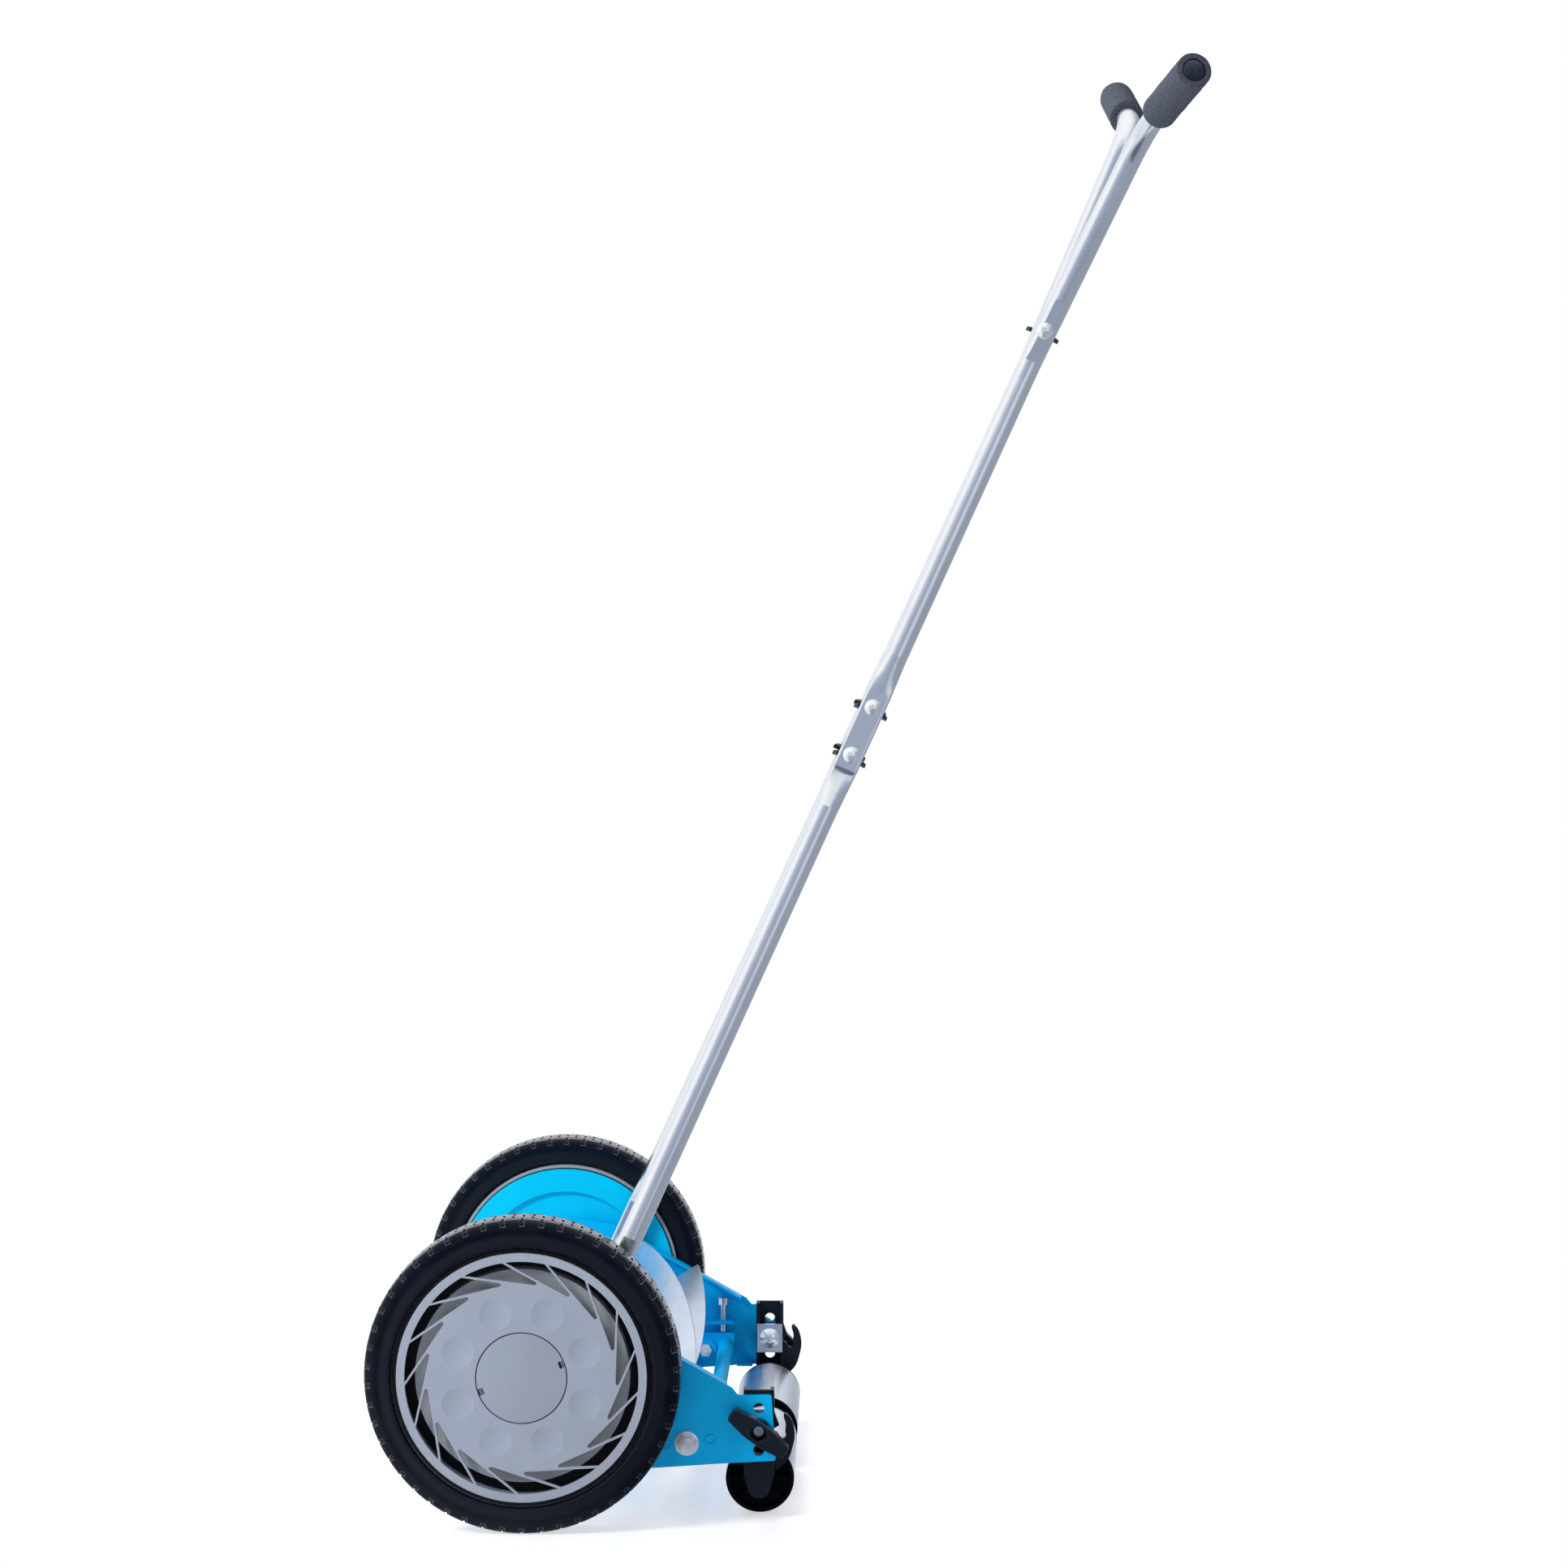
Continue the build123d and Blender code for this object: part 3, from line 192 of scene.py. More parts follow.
class Finish:
    def __init__(self, name):
        self.material = bpy.data.materials.new(name)
        self.material.use_nodes = True
        self.tree = self.material.node_tree
        self.shader = self.tree.nodes["Principled BSDF"]
        self.coords = Wire(self.tree, self.tree.nodes.new("ShaderNodeTexCoord").outputs["Object"])

    def feed(self, **values):
        # keywords are socket names with the spaces left out, such as BaseColor
        names = {socket.name.replace(" ", ""): socket for socket in self.shader.inputs}
        for name, value in values.items():
            if isinstance(value, Wire):
                self.tree.links.new(value.socket, names[name])
            else:
                names[name].default_value = value
        return self.material


def dress(material, *names):
    for name in names:
        piece = nodes[name]
        piece.data.materials.clear()
        piece.data.materials.append(material)


def bothSides(name):
    return ["left_" + name, "right_" + name]


# Finishes
hubGrey = {
    "pale": (0.365, 0.405, 0.494), "deep": (0.305, 0.340, 0.418),
    "grain": 1400.0, "cloud": 18.0,
    "rough": 0.38, "relief": 0.00008, "rounding": 0.0007,
    "capShade": 0.93,        # the centre cap is a little darker
}


def hubcapPlastic(name, shade=1.0):
    finish = Finish(name)
    speckle = finish.coords.noise(hubGrey["grain"], 2.0)
    cloud = finish.coords.noise(hubGrey["cloud"], 2.0)
    pale = [value * shade for value in hubGrey["pale"]]
    deep = [value * shade for value in hubGrey["deep"]]
    tone = speckle * 0.6 + cloud * 0.4
    return finish.feed(BaseColor=tone.stretch(0.35, 0.65).shades(deep, pale),
                       Roughness=hubGrey["rough"] + speckle * 0.16, SpecularIORLevel=0.35,
                       Normal=speckle.bump(hubGrey["relief"], 0.5, hubGrey["rounding"]))


def wheelRadius(finish):
    # distance from the wheel axle
    across = finish.coords.axis("Y") - axle.y
    height = finish.coords.axis("Z") - axle.z
    return finish.coords.maths("SQRT", across * across + height * height)


rim = {
    "disc": (0.345, 0.363, 0.41), "discShade": 0.85,
    "pocket": (0.002, 0.0025, 0.0035), "pocketRadius": 0.0862,   # painted shade: the deep gap round the disc is painted near-black
    "lip": (0.34, 0.36, 0.4), "lipRadius": 0.0995, "outerFace": 0.232,
    "grain": 1200.0, "rough": 0.4, "relief": 0.00008, "rounding": 0.0005,
}


def rimPlastic():
    finish = Finish("rimPlastic")
    radius = wheelRadius(finish)
    away = finish.coords.maths("ABSOLUTE", finish.coords.axis("X"))
    speckle = finish.coords.noise(rim["grain"], 2.0)
    shaded = [value * rim["discShade"] for value in rim["disc"]]
    disc = speckle.stretch(0.3, 0.7).shades(shaded, rim["disc"])
    # painted shade: beyond the disc the grey rim is painted near-black for the shade in its deep pocket
    pocket = (radius > rim["pocketRadius"]).over(disc, rim["pocket"])
    # the lip keeps the rim's grey on its inner side only; its outer face stays in the painted shade
    lip = (radius > rim["lipRadius"]) * (away < rim["outerFace"])
    return finish.feed(BaseColor=lip.over(pocket, rim["lip"]),
                       Roughness=rim["rough"] + speckle * 0.15, SpecularIORLevel=0.3,
                       Normal=speckle.bump(rim["relief"], 0.4, rim["rounding"]))


rubber = {
    "clean": (0.0016, 0.0023, 0.0058), "dusty": (0.0042, 0.0056, 0.0112),
    "wall": (0.0052, 0.0066, 0.0120), "wallRadii": (0.1135, 0.1165),
    "crownRadii": (0.1261, 0.1267),
    # the pale of block and notch corners: partly rubbed wear, partly a painted highlight for their glints
    "worn": (0.045, 0.051, 0.066), "wear": 240.0,
    "dust": 45.0, "grain": 1600.0, "relief": 0.00006,
}


def tyreRubber():
    finish = Finish("tyreRubber")
    radius = wheelRadius(finish)
    dust = finish.coords.noise(rubber["dust"], 4.0, 0.6)
    grain = finish.coords.noise(rubber["grain"], 2.0)
    wall = radius.stretch(*rubber["wallRadii"], 1.0, 0.0)  # the sidewall is matt and paler towards the rim
    crown = radius.stretch(*rubber["crownRadii"])  # and the tread's crown is polished
    tread = dust.stretch(0.35, 0.75).shades(rubber["clean"], rubber["dusty"])
    return finish.feed(BaseColor=wall.over(tread, rubber["wall"]),
                       Roughness=0.16 + dust * 0.12 + wall * 0.22,
                       SpecularIORLevel=0.26, SpecularTint=(0.72, 0.82, 1.0, 1.0),
                       CoatWeight=crown * 0.9, CoatRoughness=0.1,
                       Normal=(grain * 0.6 + dust * 0.4).bump(rubber["relief"], 0.2))


def tyreEdges():
    # the corners of blocks and notches, painted pale: partly rubbed wear, partly a painted highlight for their
    # glints
    finish = Finish("tyreEdges")
    wear = finish.coords.noise(rubber["wear"], 3.0, 0.6)
    return finish.feed(BaseColor=wear.stretch(0.25, 0.6).shades(rubber["dusty"], rubber["worn"]),
                       Roughness=0.14 + wear * 0.1,
                       SpecularIORLevel=1.0, SpecularTint=(0.75, 0.86, 1.0, 1.0))


paint = {
    # painted shade: the plates and knife carrier take the covers' blue paint, written darker for the shade they
    # sit in
    "plate": ((0.0, 0.46, 0.93), (0.0, 0.51, 1.0)),
    "cover": ((0.0, 0.57, 0.95), (0.0, 0.62, 1.0)),
    "flow": 24.0, "peel": 520.0, "rough": 0.34, "relief": 0.00006, "rounding": 0.0012,
}


def bluePaint(name, deep, pale):
    finish = Finish(name)
    flow = finish.coords.noise(paint["flow"], 2.0)
    peel = finish.coords.noise(paint["peel"], 2.0)
    return finish.feed(BaseColor=flow.stretch(0.3, 0.7).shades(deep, pale),
                       Roughness=paint["rough"] + peel * 0.08, SpecularIORLevel=0.09,
                       CoatWeight=0.06, CoatRoughness=0.12,
                       Normal=peel.bump(paint["relief"], 0.35, paint["rounding"]))


plastic = {
    "grain": 1500.0, "cloud": 60.0, "paler": 1.7, "tint": (0.75, 0.85, 1.0, 1.0),
    "relief": 0.00012, "rounding": 0.0008,
}


def blackPlastic(name, tone, rough, gloss=0.3):
    finish = Finish(name)
    grain = finish.coords.noise(plastic["grain"], 3.0)
    cloud = finish.coords.noise(plastic["cloud"], 2.0)
    pale = [value * plastic["paler"] for value in tone]
    return finish.feed(BaseColor=(grain * 0.5 + cloud * 0.5).stretch(0.35, 0.65).shades(tone, pale),
                       Roughness=rough + grain * 0.18,
                       SpecularIORLevel=gloss, SpecularTint=plastic["tint"],
                       Normal=grain.bump(plastic["relief"], 0.5, plastic["rounding"]))


tubeMetal = {
    "deep": (0.88, 0.90, 0.94), "pale": (0.94, 0.95, 0.97), "cloud": 22.0,
    "lines": 900.0, "drawn": 0.02, "lean": math.radians(24.65),  # fine lines, drawn out along the handle
    "rough": 0.2, "relief": 0.00001,
}


def tubeSilver():
    finish = Finish("tubeSilver")
    along = finish.coords.moved(turn=(tubeMetal["lean"], 0, 0), size=(1.0, 1.0, tubeMetal["drawn"]))
    lines = along.noise(tubeMetal["lines"], 3.0)
    cloud = finish.coords.noise(tubeMetal["cloud"], 3.0)
    return finish.feed(BaseColor=cloud.stretch(0.3, 0.7).shades(tubeMetal["deep"], tubeMetal["pale"]),
                       Metallic=1.0,
                       Roughness=tubeMetal["rough"] + lines * 0.1,
                       Normal=lines.bump(tubeMetal["relief"], 0.06))


steel = {"lines": 700.0, "rolled": 0.03, "stain": 35.0, "dull": 0.84, "relief": 0.00003}


def sheetSteel(name, tone, rough, relief=0.3):
    # rolled steel with fine lines along the part
    finish = Finish(name)
    lines = finish.coords.moved(size=(steel["rolled"], 1.0, 1.0)).noise(steel["lines"], 4.0)
    stain = finish.coords.noise(steel["stain"], 4.0, 0.6)
    dull = [value * steel["dull"] for value in tone]
    return finish.feed(BaseColor=(stain * 0.6 + lines * 0.4).stretch(0.35, 0.65).shades(dull, tone),
                       Metallic=1.0,
                       Roughness=rough + stain * 0.14 + lines * 0.08,
                       Normal=lines.bump(steel["relief"], relief))


zinc = {
    "deep": (0.80, 0.84, 0.88), "pale": (0.93, 0.95, 0.97), "bloom": 160.0, "relief": 0.00002,
    "pitch": 0.001, "root": (0.34, 0.36, 0.40), "threadDepth": 0.00012,  # of a screw's thread; its root colour is painted shade in the grooves
    "screwHead": 0.006,      # its height
}


def zincPlate(name, rough=0.1, rounding=0.0006, screw=None, bright=1.0):
    finish = Finish(name)
    bloom = finish.coords.noise(zinc["bloom"], 4.0, 0.6)
    colour = bloom.stretch(0.3, 0.7).shades(zinc["deep"], zinc["pale"])
    relief = bloom.bump(zinc["relief"], 0.1, rounding)
    if screw:
        # a thread that ends under the screw's head, darkened in its grooves as painted shade
        height = finish.coords.axis("Z")
        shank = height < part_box(screw)[1].z - zinc["screwHead"]
        thread = finish.coords.maths("SINE", height * (2 * math.pi / zinc["pitch"]))
        colour = (thread.stretch(-0.9, 0.2, 1.0, 0.0) * shank).over(colour, zinc["root"])
        relief = (thread * shank).bump(zinc["threadDepth"], 0.5)
    return finish.feed(BaseColor=colour, Metallic=bright, Roughness=rough + bloom * 0.14, Normal=relief)


foam = {
    "deep": (0.034, 0.038, 0.054), "pale": (0.108, 0.12, 0.162),
    "cells": 900.0, "specks": 650.0, "relief": 0.0005,
}


def gripFoam():
    finish = Finish("gripFoam")
    inputs = {"Vector": finish.coords, "Scale": foam["cells"]}
    cells = finish.coords.node("TexVoronoi", {"feature": "F1"}, inputs)
    specks = finish.coords.noise(foam["specks"], 3.0, 0.7)
    tone = (specks * 0.7 + cells * 0.3).stretch(0.3, 0.7)
    return finish.feed(BaseColor=tone.shades(foam["deep"], foam["pale"]),
                       Roughness=0.92, SpecularIORLevel=0.25,
                       Normal=(cells * 0.5 + specks * 0.5).bump(foam["relief"], 0.8))


plug = {"deep": (0.012, 0.015, 0.026), "pale": (0.018, 0.022, 0.036), "cloud": 120.0}


def glossPlug():
    finish = Finish("glossPlug")
    cloud = finish.coords.noise(plug["cloud"], 2.0)
    return finish.feed(BaseColor=cloud.shades(plug["deep"], plug["pale"]),
                       Roughness=0.24 + cloud * 0.1,
                       SpecularIORLevel=0.5, SpecularTint=plastic["tint"])


finishes = {
    "hubcap": hubcapPlastic("hubcapPlastic"),
    "cap": hubcapPlastic("centreCapPlastic", hubGrey["capShade"]),
    "rim": rimPlastic(),
    "tyre": tyreRubber(),
    "tyreEdge": tyreEdges(),
    # the plates' blue is a darker copy of the cover paint, as painted shade
    "plate": bluePaint("plateBlueShaded", *paint["plate"]),
    "cover": bluePaint("coverBlue", *paint["cover"]),
    "black": blackPlastic("blackPlastic", (0.0054, 0.0078, 0.0138), rough=0.3),
    # painted shade: the roller caps are the same black plastic, written darker for the recess they sit in
    "rollerCap": blackPlastic("shadedRollerCapPlastic", (0.0012, 0.0013, 0.002), rough=0.45, gloss=0.12),
    "bearing": blackPlastic("bearingPlastic", (0.05, 0.052, 0.058), rough=0.4),
    "tube": tubeSilver(),
    "blade": sheetSteel("bladeSteel", (0.78, 0.86, 0.97), rough=0.3),
    "spider": sheetSteel("spiderSteel", (0.42, 0.44, 0.48), rough=0.34),
    "roller": sheetSteel("rollerSteel", (0.90, 0.93, 0.99), rough=0.22, relief=0.05),
    "zinc": zincPlate("zincPlate"),
    "boltHead": zincPlate("boltHeadZinc", rough=0.06, rounding=0.0003, bright=0.3),
    "polished": zincPlate("polishedZinc", rough=0.05, rounding=0.0, bright=0.68),
    "clampPlate": zincPlate("clampPlateZinc", rough=0.26),
    "threaded": zincPlate("threadedZinc", screw="left_adjusting_screw"),
    "foam": gripFoam(),
    "plug": glossPlug(),
}

dress(finishes["hubcap"], *bothSides("hubcap"))
dress(finishes["cap"], *bothSides("centre_cap"))
dress(finishes["rim"], *bothSides("wheel_rim"))
dress(finishes["tyre"], *bothSides("tyre"))
dress(finishes["plate"], *bothSides("side_plate"), "knife_carrier")
dress(finishes["cover"], *bothSides("gear_cover"))
dress(finishes["black"], *bothSides("roller_bracket"), *bothSides("wing_knob"), *bothSides("pinion"),
      "handle_wing_nuts")
dress(finishes["rollerCap"], *bothSides("roller_caps"))
dress(finishes["bearing"], "reel_bearings")
dress(finishes["tube"], *bothSides("lower_tube"), *bothSides("upper_tube"))
dress(finishes["roller"], *bothSides("roller_tube"))
dress(finishes["blade"], "bed_knife", *["reel_blade_%d" % (index + 1) for index in range(5)])
dress(finishes["spider"], "reel_spiders")
dress(finishes["threaded"], *bothSides("adjusting_screw"))
dress(finishes["zinc"], "stub_axles", "axle_clips", "drive_pawls", "pinion_clips", "reel_shaft",
      "front_tie_rod", "knife_rivets", "roller_axle")
dress(finishes["clampPlate"], "clamp_plates")
dress(finishes["boltHead"], "tie_rod_screws", "knife_pivot_bolts", "knife_pivot_nuts",
      "handle_pivot_bolts", "handle_pivot_nuts")
dress(finishes["polished"], "clamp_bolts", "handle_bolts")
dress(finishes["foam"], *bothSides("grip"))
dress(finishes["plug"], "grip_plugs")
print("finishes given")


# Tyres: a drawn section spun round the axle, with grooves and notches sunk into it
tyre = {
    "columns": 600,          # faces round the tyre
    "blockColumns": 12,      # a tread block, and a shoulder notch, every so many columns
    "depth": 0.0021,         # of the grooves
    "zigzag": 0.0011,        # how far the grooves swing to each side
    "grooves": [(0.0026, 0.0038), (0.0088, 0.0100)],
    "treadEdge": 0.0154,
    "notchEdge": 0.0190,     # the notches end here, on the shoulder
    "notchFoot": 0.1215,     # and at this distance from the axle
    "notchColumns": 3,       # width of a notch
    "treadFoot": 0.12,       # the tread is all beyond this distance
    "margin": 0.0004,
    "edgeWidth": 0.00045,    # of the pale corners, partly wear and partly painted highlight
    "edgeAngle": math.radians(35),
    "smoothAngle": math.radians(38),
    "merge": 0.00005,
    # half of the section, as distances from the middle and from the axle
    "half": [(0.0, 0.1270), (0.0026, 0.1270), (0.0038, 0.1270), (0.0088, 0.1269), (0.0100, 0.12685),
             (0.0154, 0.1263), (0.0167, 0.1257), (0.0177, 0.1248), (0.0185, 0.1235), (0.0190, 0.1219),
             (0.0194, 0.1201), (0.01955, 0.1183), (0.0195, 0.1164), (0.0193, 0.1146), (0.0194, 0.1129),
             (0.0198, 0.1110), (0.0202, 0.1090), (0.02045, 0.1074), (0.0203, 0.1064), (0.0197, 0.1057),
             (0.0184, 0.1053), (0.0170, 0.1050), (0.0162, 0.1043), (0.0160, 0.10305)],
}


def drawSection(points, name):
    # a point pushed out step by step along the section
    deselectAll()
    bpy.ops.mesh.primitive_plane_add(size=0.001, location=(0, 0, 0))
    piece = bpy.context.object
    piece.name = name
    startEdit(piece)
    bpy.ops.mesh.merge(type="CENTER")
    bpy.ops.transform.translate(value=points[0])
    for first, second in zip(points, points[1:]):
        step = Vector(second) - Vector(first)
        bpy.ops.mesh.extrude_region_move(TRANSFORM_OT_translate={"value": step})
    return piece


def isGroove(face):
    # true on the faces that are sunk: the grooves, the cuts between blocks and the shoulder notches
    turn = 2 * math.pi / tyre["columns"]
    column = round(math.atan2(face.center.y, face.center.z) / turn - 0.5) % tyre["blockColumns"]
    away = abs(face.center.x)
    if math.hypot(face.center.y, face.center.z) < tyre["notchFoot"] or away > tyre["notchEdge"]:
        return False
    if any(low < away < high for low, high in tyre["grooves"]):
        return True
    if away < tyre["grooves"][0][0]:
        return column == 0
    if away < tyre["grooves"][1][0]:
        return column == tyre["blockColumns"] // 2
    if away < tyre["treadEdge"]:
        return column == 0
    return (column + 1) % tyre["blockColumns"] < tyre["notchColumns"]


def swingGrooves(piece):
    # the grooves swing from side to side, once for each block, the two sides as mirror images
    turn = 2 * math.pi / tyre["columns"]
    half = tyre["blockColumns"] // 2
    inner = tyre["grooves"][0][0] - tyre["margin"]
    outer = tyre["grooves"][1][1] + tyre["margin"]
    for phase in range(tyre["blockColumns"]):
        swing = tyre["zigzag"] * (abs(phase - half) / half * 2 - 1)
        for side in (1, -1):

            def onGroove(vertex):
                column = round(math.atan2(vertex.co.y, vertex.co.z) / turn) % tyre["blockColumns"]
                onTread = vertex.co.yz.length > tyre["treadFoot"]
                return column == phase and inner < vertex.co.x * side < outer and onTread

            pick(piece, "VERT", onGroove)
            bpy.ops.transform.translate(value=(swing * side, 0, 0))


def makeTyre(name):
    half = [Vector((x, 0.0, r)) for x, r in tyre["half"]]
    section = [Vector((-point.x, 0.0, point.z)) for point in reversed(half[1:])] + half
    piece = drawSection(section + [section[0]], name)
    bpy.ops.mesh.select_all(action="SELECT")
    bpy.ops.mesh.spin(steps=tyre["columns"], angle=2 * math.pi, center=(0, 0, 0), axis=(1, 0, 0))
    bpy.ops.mesh.select_all(action="SELECT")
    bpy.ops.mesh.remove_doubles(threshold=tyre["merge"])
    bpy.ops.mesh.normals_make_consistent(inside=False)
    pick(piece, "FACE", isGroove)
    bpy.ops.mesh.extrude_region_shrink_fatten(TRANSFORM_OT_shrink_fatten={"value": -tyre["depth"]})
    swingGrooves(piece)
    bpy.ops.object.mode_set(mode="OBJECT")
    bevel = piece.modifiers.new("softEdges", "BEVEL")
    bevel.width = tyre["edgeWidth"]
    bevel.segments = 1
    bevel.angle_limit = tyre["edgeAngle"]
    bevel.material = 1
    piece.data.materials.append(finishes["tyre"])
    piece.data.materials.append(finishes["tyreEdge"])
    applyModifiers(piece)
    bpy.ops.object.shade_smooth_by_angle(angle=tyre["smoothAngle"])
    return piece


def placeTyres():
    first = makeTyre("leftTyre")
    for side, piece in (("left", first), ("right", ownCopy(first, "rightTyre"))):
        piece.location = Vector(joints[side + "_wheel_spin"]["pos_m"])
        settle(piece)
        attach(piece, side + "_wheel")
        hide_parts(side + "_tyre")
    print("tyres", len(first.data.polygons), "faces each")


placeTyres()


# Knife pivot bolts: a coned flange and a chamfered hexagon, made once and turned for the other side
pivotBolt = {
    "flangeRadius": 0.0099, "flange": 0.002, "flangeRim": 0.0008,
    "headWidth": 0.0124, "head": 0.005, "neckRadius": 0.006572,
    "chamfer": 0.0008, "corner": 0.0003, "cornerAngle": math.radians(40), "turn": math.radians(12),
    "sunk": 0.0004,          # the hexagon starts inside the flange
    "shankRadius": 0.003, "steps": 64, "merge": 0.00002, "smoothAngle": math.radians(28),
}


def makeBolt():
    points = nodes["knife_pivot_bolts"].data.vertices
    top = max(vertex.co.x for vertex in points)
    end = min(abs(vertex.co.x) for vertex in points)
    neck = top - pivotBolt["head"]
    seat = neck - pivotBolt["flange"]
    shank = pivotBolt["shankRadius"]
    flange = pivotBolt["flangeRadius"]
    section = [(end, 0.0), (end, shank), (seat, shank), (seat, flange), (seat + pivotBolt["flangeRim"], flange),
               (neck, pivotBolt["neckRadius"]), (neck, 0.0)]
    piece = drawSection([Vector((x, 0.0, r)) for x, r in section], "knifePivotBolts")
    bpy.ops.mesh.select_all(action="SELECT")
    bpy.ops.mesh.spin(steps=pivotBolt["steps"], angle=2 * math.pi, center=(0, 0, 0), axis=(1, 0, 0))
    bpy.ops.mesh.select_all(action="SELECT")
    bpy.ops.mesh.remove_doubles(threshold=pivotBolt["merge"])
    bpy.ops.mesh.normals_make_consistent(inside=False)
    deselectAll()
    depth = pivotBolt["head"] + pivotBolt["sunk"]
    bpy.ops.mesh.primitive_cylinder_add(vertices=6, radius=pivotBolt["headWidth"] / math.sqrt(3),
                                        depth=depth, location=(0, 0, 0))
    hexagon = bpy.context.object
    startEdit(hexagon)
    ends = hexagon.data.vertices
    pick(hexagon, "EDGE", lambda edge: all(ends[index].co.z > 0 for index in edge.vertices))
    bpy.ops.mesh.bevel(offset=pivotBolt["chamfer"], segments=2, affect="EDGES")
    bpy.ops.object.mode_set(mode="OBJECT")
    corners = hexagon.modifiers.new("corners", "BEVEL")
    corners.width = pivotBolt["corner"]
    corners.segments = 2
    corners.angle_limit = pivotBolt["cornerAngle"]
    applyModifiers(hexagon)
    hexagon.rotation_euler = (pivotBolt["turn"], math.radians(90), 0)
    hexagon.location = (top - depth / 2, 0, 0)
    settle(hexagon)
    union = piece.modifiers.new("head", "BOOLEAN")
    union.operation = "UNION"
    union.object = hexagon
    applyModifiers(piece)
    bpy.data.objects.remove(hexagon)
    return piece


def placeBolts():
    low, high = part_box("knife_pivot_bolts")
    piece = makeBolt()
    twin = ownCopy(piece, "knifePivotTwin")
    twin.rotation_euler = (0, 0, math.pi)
    for bolt in (piece, twin):
        bolt.location = (0, (low.y + high.y) / 2, (low.z + high.z) / 2)
        settle(bolt)
    deselectAll()
    for bolt in (twin, piece):
        bolt.select_set(True)
        bpy.context.view_layer.objects.active = bolt
    bpy.ops.object.join()
    bpy.ops.object.shade_smooth_by_angle(angle=pivotBolt["smoothAngle"])
    piece.data.materials.clear()
    piece.data.materials.append(finishes["boltHead"])
    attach(piece, "chassis")
    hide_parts("knife_pivot_bolts")
    print("pivot bolts", len(piece.data.polygons), "faces")


placeBolts()


# Foam grips: a soft sleeve round the tube, rounded at its ends and a little uneven
grip = {
    "sides": 64, "cuts": 26, "rounding": 0.0016, "roundingSteps": 5,
    "swell": 0.0002, "tubeGap": 0.0001,
    "lump": 0.012, "unevenness": 0.0003, "smoothAngle": math.radians(40),
}


def gripLine(node):
    # the middle of each end of a grip, along the way its points spread most
    points = np.array([vertex.co for vertex in nodes[node].data.vertices])
    middle = (points.max(axis=0) + points.min(axis=0)) / 2
    line = np.linalg.svd(points - points.mean(axis=0), full_matrices=False)[2][0]
    along = (points - middle) @ line
    return Vector(middle + line * along.min()), Vector(middle + line * along.max())


def gripRadii(node, start, end):
    # bore and outside of a grip, measured from its line
    line = (end - start).normalized()
    reaches = []
    for vertex in nodes[node].data.vertices:
        arm = vertex.co - start
        reaches.append((arm - line * arm.dot(line)).length)
    return min(reaches), max(reaches)


def makeGrip(side):
    start, end = gripLine(side + "_grip")
    bore, outside = gripRadii(side + "_grip", start, end)
    length = (end - start).length
    outside = outside + grip["swell"]
    deselectAll()
    bpy.ops.mesh.primitive_cylinder_add(vertices=grip["sides"], radius=outside, depth=length)
    piece = bpy.context.object
    piece.name = side + "Grip"
    startEdit(piece)
    pick(piece, "FACE", lambda face: abs(face.normal.z) > 0.9)
    bpy.ops.mesh.inset(thickness=outside - bore - grip["tubeGap"])
    bpy.ops.mesh.bridge_edge_loops()
    points = piece.data.vertices

    def onRim(edge):
        first, second = (points[index].co for index in edge.vertices)
        return abs(first.z - second.z) < 0.0001 and first.xy.length > 0.9 * outside

    pick(piece, "EDGE", onRim)
    bpy.ops.mesh.bevel(offset=grip["rounding"], segments=grip["roundingSteps"], affect="EDGES")
    for cut in range(1, grip["cuts"]):
        height = length * (cut / grip["cuts"] - 0.5)
        bpy.ops.mesh.select_all(action="SELECT")
        bpy.ops.mesh.bisect(plane_co=(0, 0, height), plane_no=(0, 0, 1))
    bpy.ops.mesh.select_all(action="SELECT")
    bpy.ops.mesh.normals_make_consistent(inside=False)
    bpy.ops.object.mode_set(mode="OBJECT")
    lumps = bpy.data.textures.new("foamLumps", "CLOUDS")
    lumps.noise_scale = grip["lump"]
    uneven = piece.modifiers.new("uneven", "DISPLACE")
    uneven.texture = lumps
    uneven.strength = grip["unevenness"] * 2
    uneven.mid_level = 0.5
    applyModifiers(piece)
    bpy.ops.object.shade_smooth_by_angle(angle=grip["smoothAngle"])
    piece.rotation_euler = (end - start).to_track_quat("Z", "Y").to_euler()
    piece.location = (start + end) / 2
    settle(piece)
    piece.data.materials.append(finishes["foam"])
    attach(piece, "handle")
    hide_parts(side + "_grip")


for side in ("left", "right"):
    makeGrip(side)
print("grips made")


# Camera, as the photograph was taken
shot = {
    "place": (3.05009, 0.05304, 0.73361), "yaw": -0.0200, "pitch": 0.0471,
    "lens": 81.85, "sensor": 36.0, "farthest": 60.0,
}


def setCamera():
    data = bpy.data.cameras.new("camera")
    data.sensor_width = shot["sensor"]
    data.lens = shot["lens"]
    data.clip_end = shot["farthest"]
    camera = bpy.data.objects.new("camera", data)
    bpy.context.collection.objects.link(camera)
    yaw, pitch = shot["yaw"], shot["pitch"]
    level = math.cos(pitch)
    forward = Vector((-math.cos(yaw) * level, math.sin(yaw) * level, -math.sin(pitch)))
    right = Vector((math.sin(yaw), math.cos(yaw), 0.0))
    above = right.cross(forward)
    turn = Matrix((right, above, -forward)).transposed()
    camera.matrix_world = Matrix.Translation(shot["place"]) @ turn.to_4x4()
    bpy.context.scene.camera = camera


setCamera()


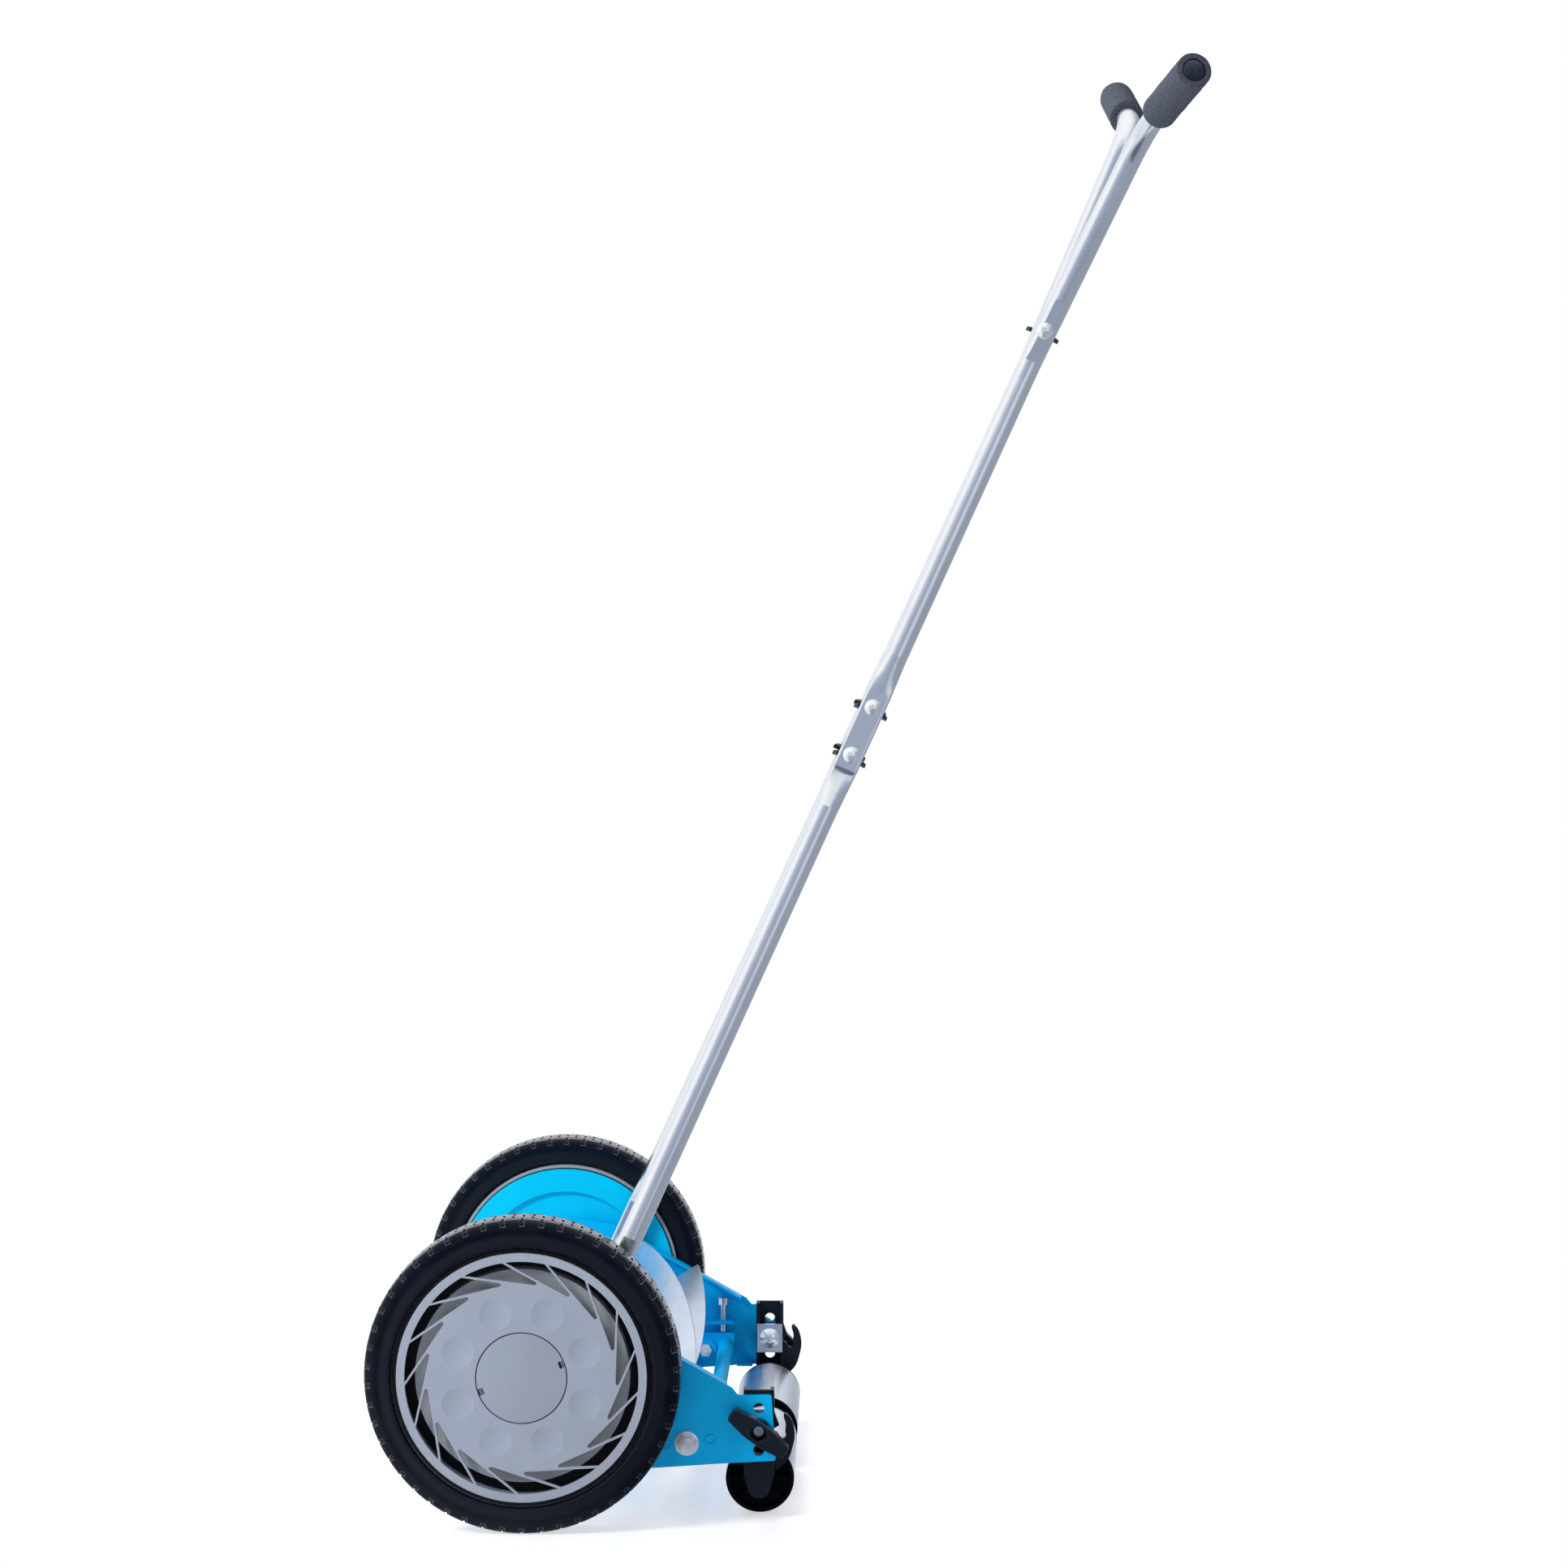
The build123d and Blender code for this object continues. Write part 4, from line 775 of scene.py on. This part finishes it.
# Floor, world and lamps
white = (1.0, 1.0, 1.0)
studio = {
    "floorSize": 30.0, "floorColour": (0.92, 0.93, 0.95), "floorRough": 0.22, "floorGloss": 0.35,
    "floorMiddle": (0.0, 0.1, 0.0),
    "floorLift": 0.42,           # how much paler the camera sees it
    "whiteReach": (0.12, 0.5),   # where it fades to white
    "tableEdge": (0.2, 0.27),    # where gloss sees the floor beyond the table
    "worldLight": 0.43, "worldColour": (0.93, 0.96, 1.0),
    "topLight": (0.5, 0.9),
    # what gloss mirrors, going round from the far side by the front, the camera and the rear
    "room": [(0.0, (0.93, 0.95, 1.0)), (0.17, (0.81, 0.85, 0.92)), (0.26, white), (0.33, white),
             (0.41, (0.42, 0.46, 0.58)), (0.545, (0.28, 0.34, 0.45)), (0.575, (0.72, 0.77, 0.85)),
             (0.605, (0.70, 0.74, 0.82)), (0.655, (0.30, 0.35, 0.44)), (0.945, (0.34, 0.37, 0.46)),
             (0.97, (0.93, 0.95, 1.0))],
    # and the floor beyond the table, in the same order
    "beyond": [(0.0, (0.85, 0.87, 0.9)), (0.38, (0.75, 0.78, 0.82)), (0.45, (0.12, 0.14, 0.19)),
               (0.55, (0.09, 0.11, 0.15)), (0.62, (0.30, 0.33, 0.40)), (0.955, (0.33, 0.36, 0.43)),
               (0.98, (0.85, 0.87, 0.9))],
}


def goingRound(way, tones):
    # a colour by the heading of a direction or a place
    heading = way.maths("ARCTAN2", way.axis("Y"), way.axis("X")) * (0.5 / math.pi) + 0.5
    stops = [(place, tone + (1.0,)) for place, tone in tones]
    return way.node("ValToRGB", {"stops": stops}, {"Fac": heading})


def emission(way, tone, strength=1.0):
    return way.node("Emission", {}, {"Color": tone, "Strength": strength})


def mixed(factor, first, second):
    return factor.node("MixShader", {}, {0: factor, 1: first, 2: second})


def makeFloor():
    deselectAll()
    bpy.ops.mesh.primitive_circle_add(vertices=96, radius=studio["floorSize"], fill_type="NGON")
    floor = bpy.context.object
    floor.name = "floor"
    material = bpy.data.materials.new("paleFloor")
    material.use_nodes = True
    tree = material.node_tree
    ground = tree.nodes["Principled BSDF"]
    ground.inputs["Base Color"].default_value = studio["floorColour"] + (1.0,)
    ground.inputs["Roughness"].default_value = studio["floorRough"]
    ground.inputs["Specular IOR Level"].default_value = studio["floorGloss"]
    plain = Wire(tree, ground.outputs[0])
    start = Wire(tree, tree.nodes.new("ShaderNodeTexCoord").outputs["Object"])
    seen = start.node("LightPath", {}, {}, "Is Camera Ray")
    glossy = start.node("LightPath", {}, {}, "Is Glossy Ray")
    middle = start.moved(location=studio["floorMiddle"])
    reach = start.node("VectorMath", {"operation": "LENGTH"}, {0: middle}, "Value")
    lift = emission(start, white + (1.0,), studio["floorLift"])
    paler = start.node("AddShader", {}, {0: plain, 1: lift})
    faded = mixed(reach.stretch(*studio["whiteReach"]), paler, emission(start, white + (1.0,)))
    edge = reach.stretch(*studio["tableEdge"]) * glossy
    table = mixed(edge, plain, emission(start, goingRound(start, studio["beyond"])))
    shown = mixed(seen, table, faded)
    tree.links.new(shown.socket, tree.nodes["Material Output"].inputs["Surface"])
    floor.data.materials.append(material)


def setWorld():
    # a white backdrop, a plain light, and a studio of pale and dark walls where gloss mirrors it
    world = bpy.data.worlds.new("studio")
    bpy.context.scene.world = world
    world.use_nodes = True
    tree = world.node_tree
    tree.nodes.clear()
    path = tree.nodes.new("ShaderNodeLightPath")
    seen = Wire(tree, path.outputs["Is Camera Ray"])
    glossy = Wire(tree, path.outputs["Is Glossy Ray"])
    through = Wire(tree, path.outputs["Is Transmission Ray"])
    way = Wire(tree, tree.nodes.new("ShaderNodeTexCoord").outputs["Generated"])
    room = way.axis("Z").stretch(*studio["topLight"]).over(goingRound(way, studio["room"]), white)
    light = {"Color": studio["worldColour"] + (1.0,), "Strength": studio["worldLight"]}
    plain = seen.node("Background", {}, light)
    mirrored = seen.node("Background", {}, {"Color": room, "Strength": 1.0})
    backdrop = seen.node("Background", {}, {"Color": white + (1.0,), "Strength": 1.0})
    shiny = mixed(glossy, plain, mirrored)
    shown = mixed(seen.maths("MAXIMUM", seen, through), shiny, backdrop)
    output = tree.nodes.new("ShaderNodeOutputWorld")
    tree.links.new(shown.socket, output.inputs["Surface"])


lamps = [
    {"name": "topBack", "place": (-1.6, -1.4, 3.0), "aim": (0.0, 0.0, 0.3), "size": 2.4, "power": 70.0},
    {"name": "cameraSide", "place": (1.8, -2.3, 2.3), "aim": (0.0, 0.0, 0.2), "size": 1.0, "power": 88.0},
]


def setLamps():
    for lamp in lamps:
        data = bpy.data.lights.new(lamp["name"], "AREA")
        data.shape = "DISK"
        data.size = lamp["size"]
        data.energy = lamp["power"]
        piece = bpy.data.objects.new(lamp["name"], data)
        bpy.context.collection.objects.link(piece)
        piece.location = lamp["place"]
        aim = Vector(lamp["aim"]) - Vector(lamp["place"])
        piece.rotation_euler = aim.to_track_quat("-Z", "Y").to_euler()
        piece.visible_glossy = False  # gloss mirrors the studio's walls


makeFloor()
setWorld()
setLamps()
bpy.context.scene.view_settings.view_transform = "Standard"
print("studio set")
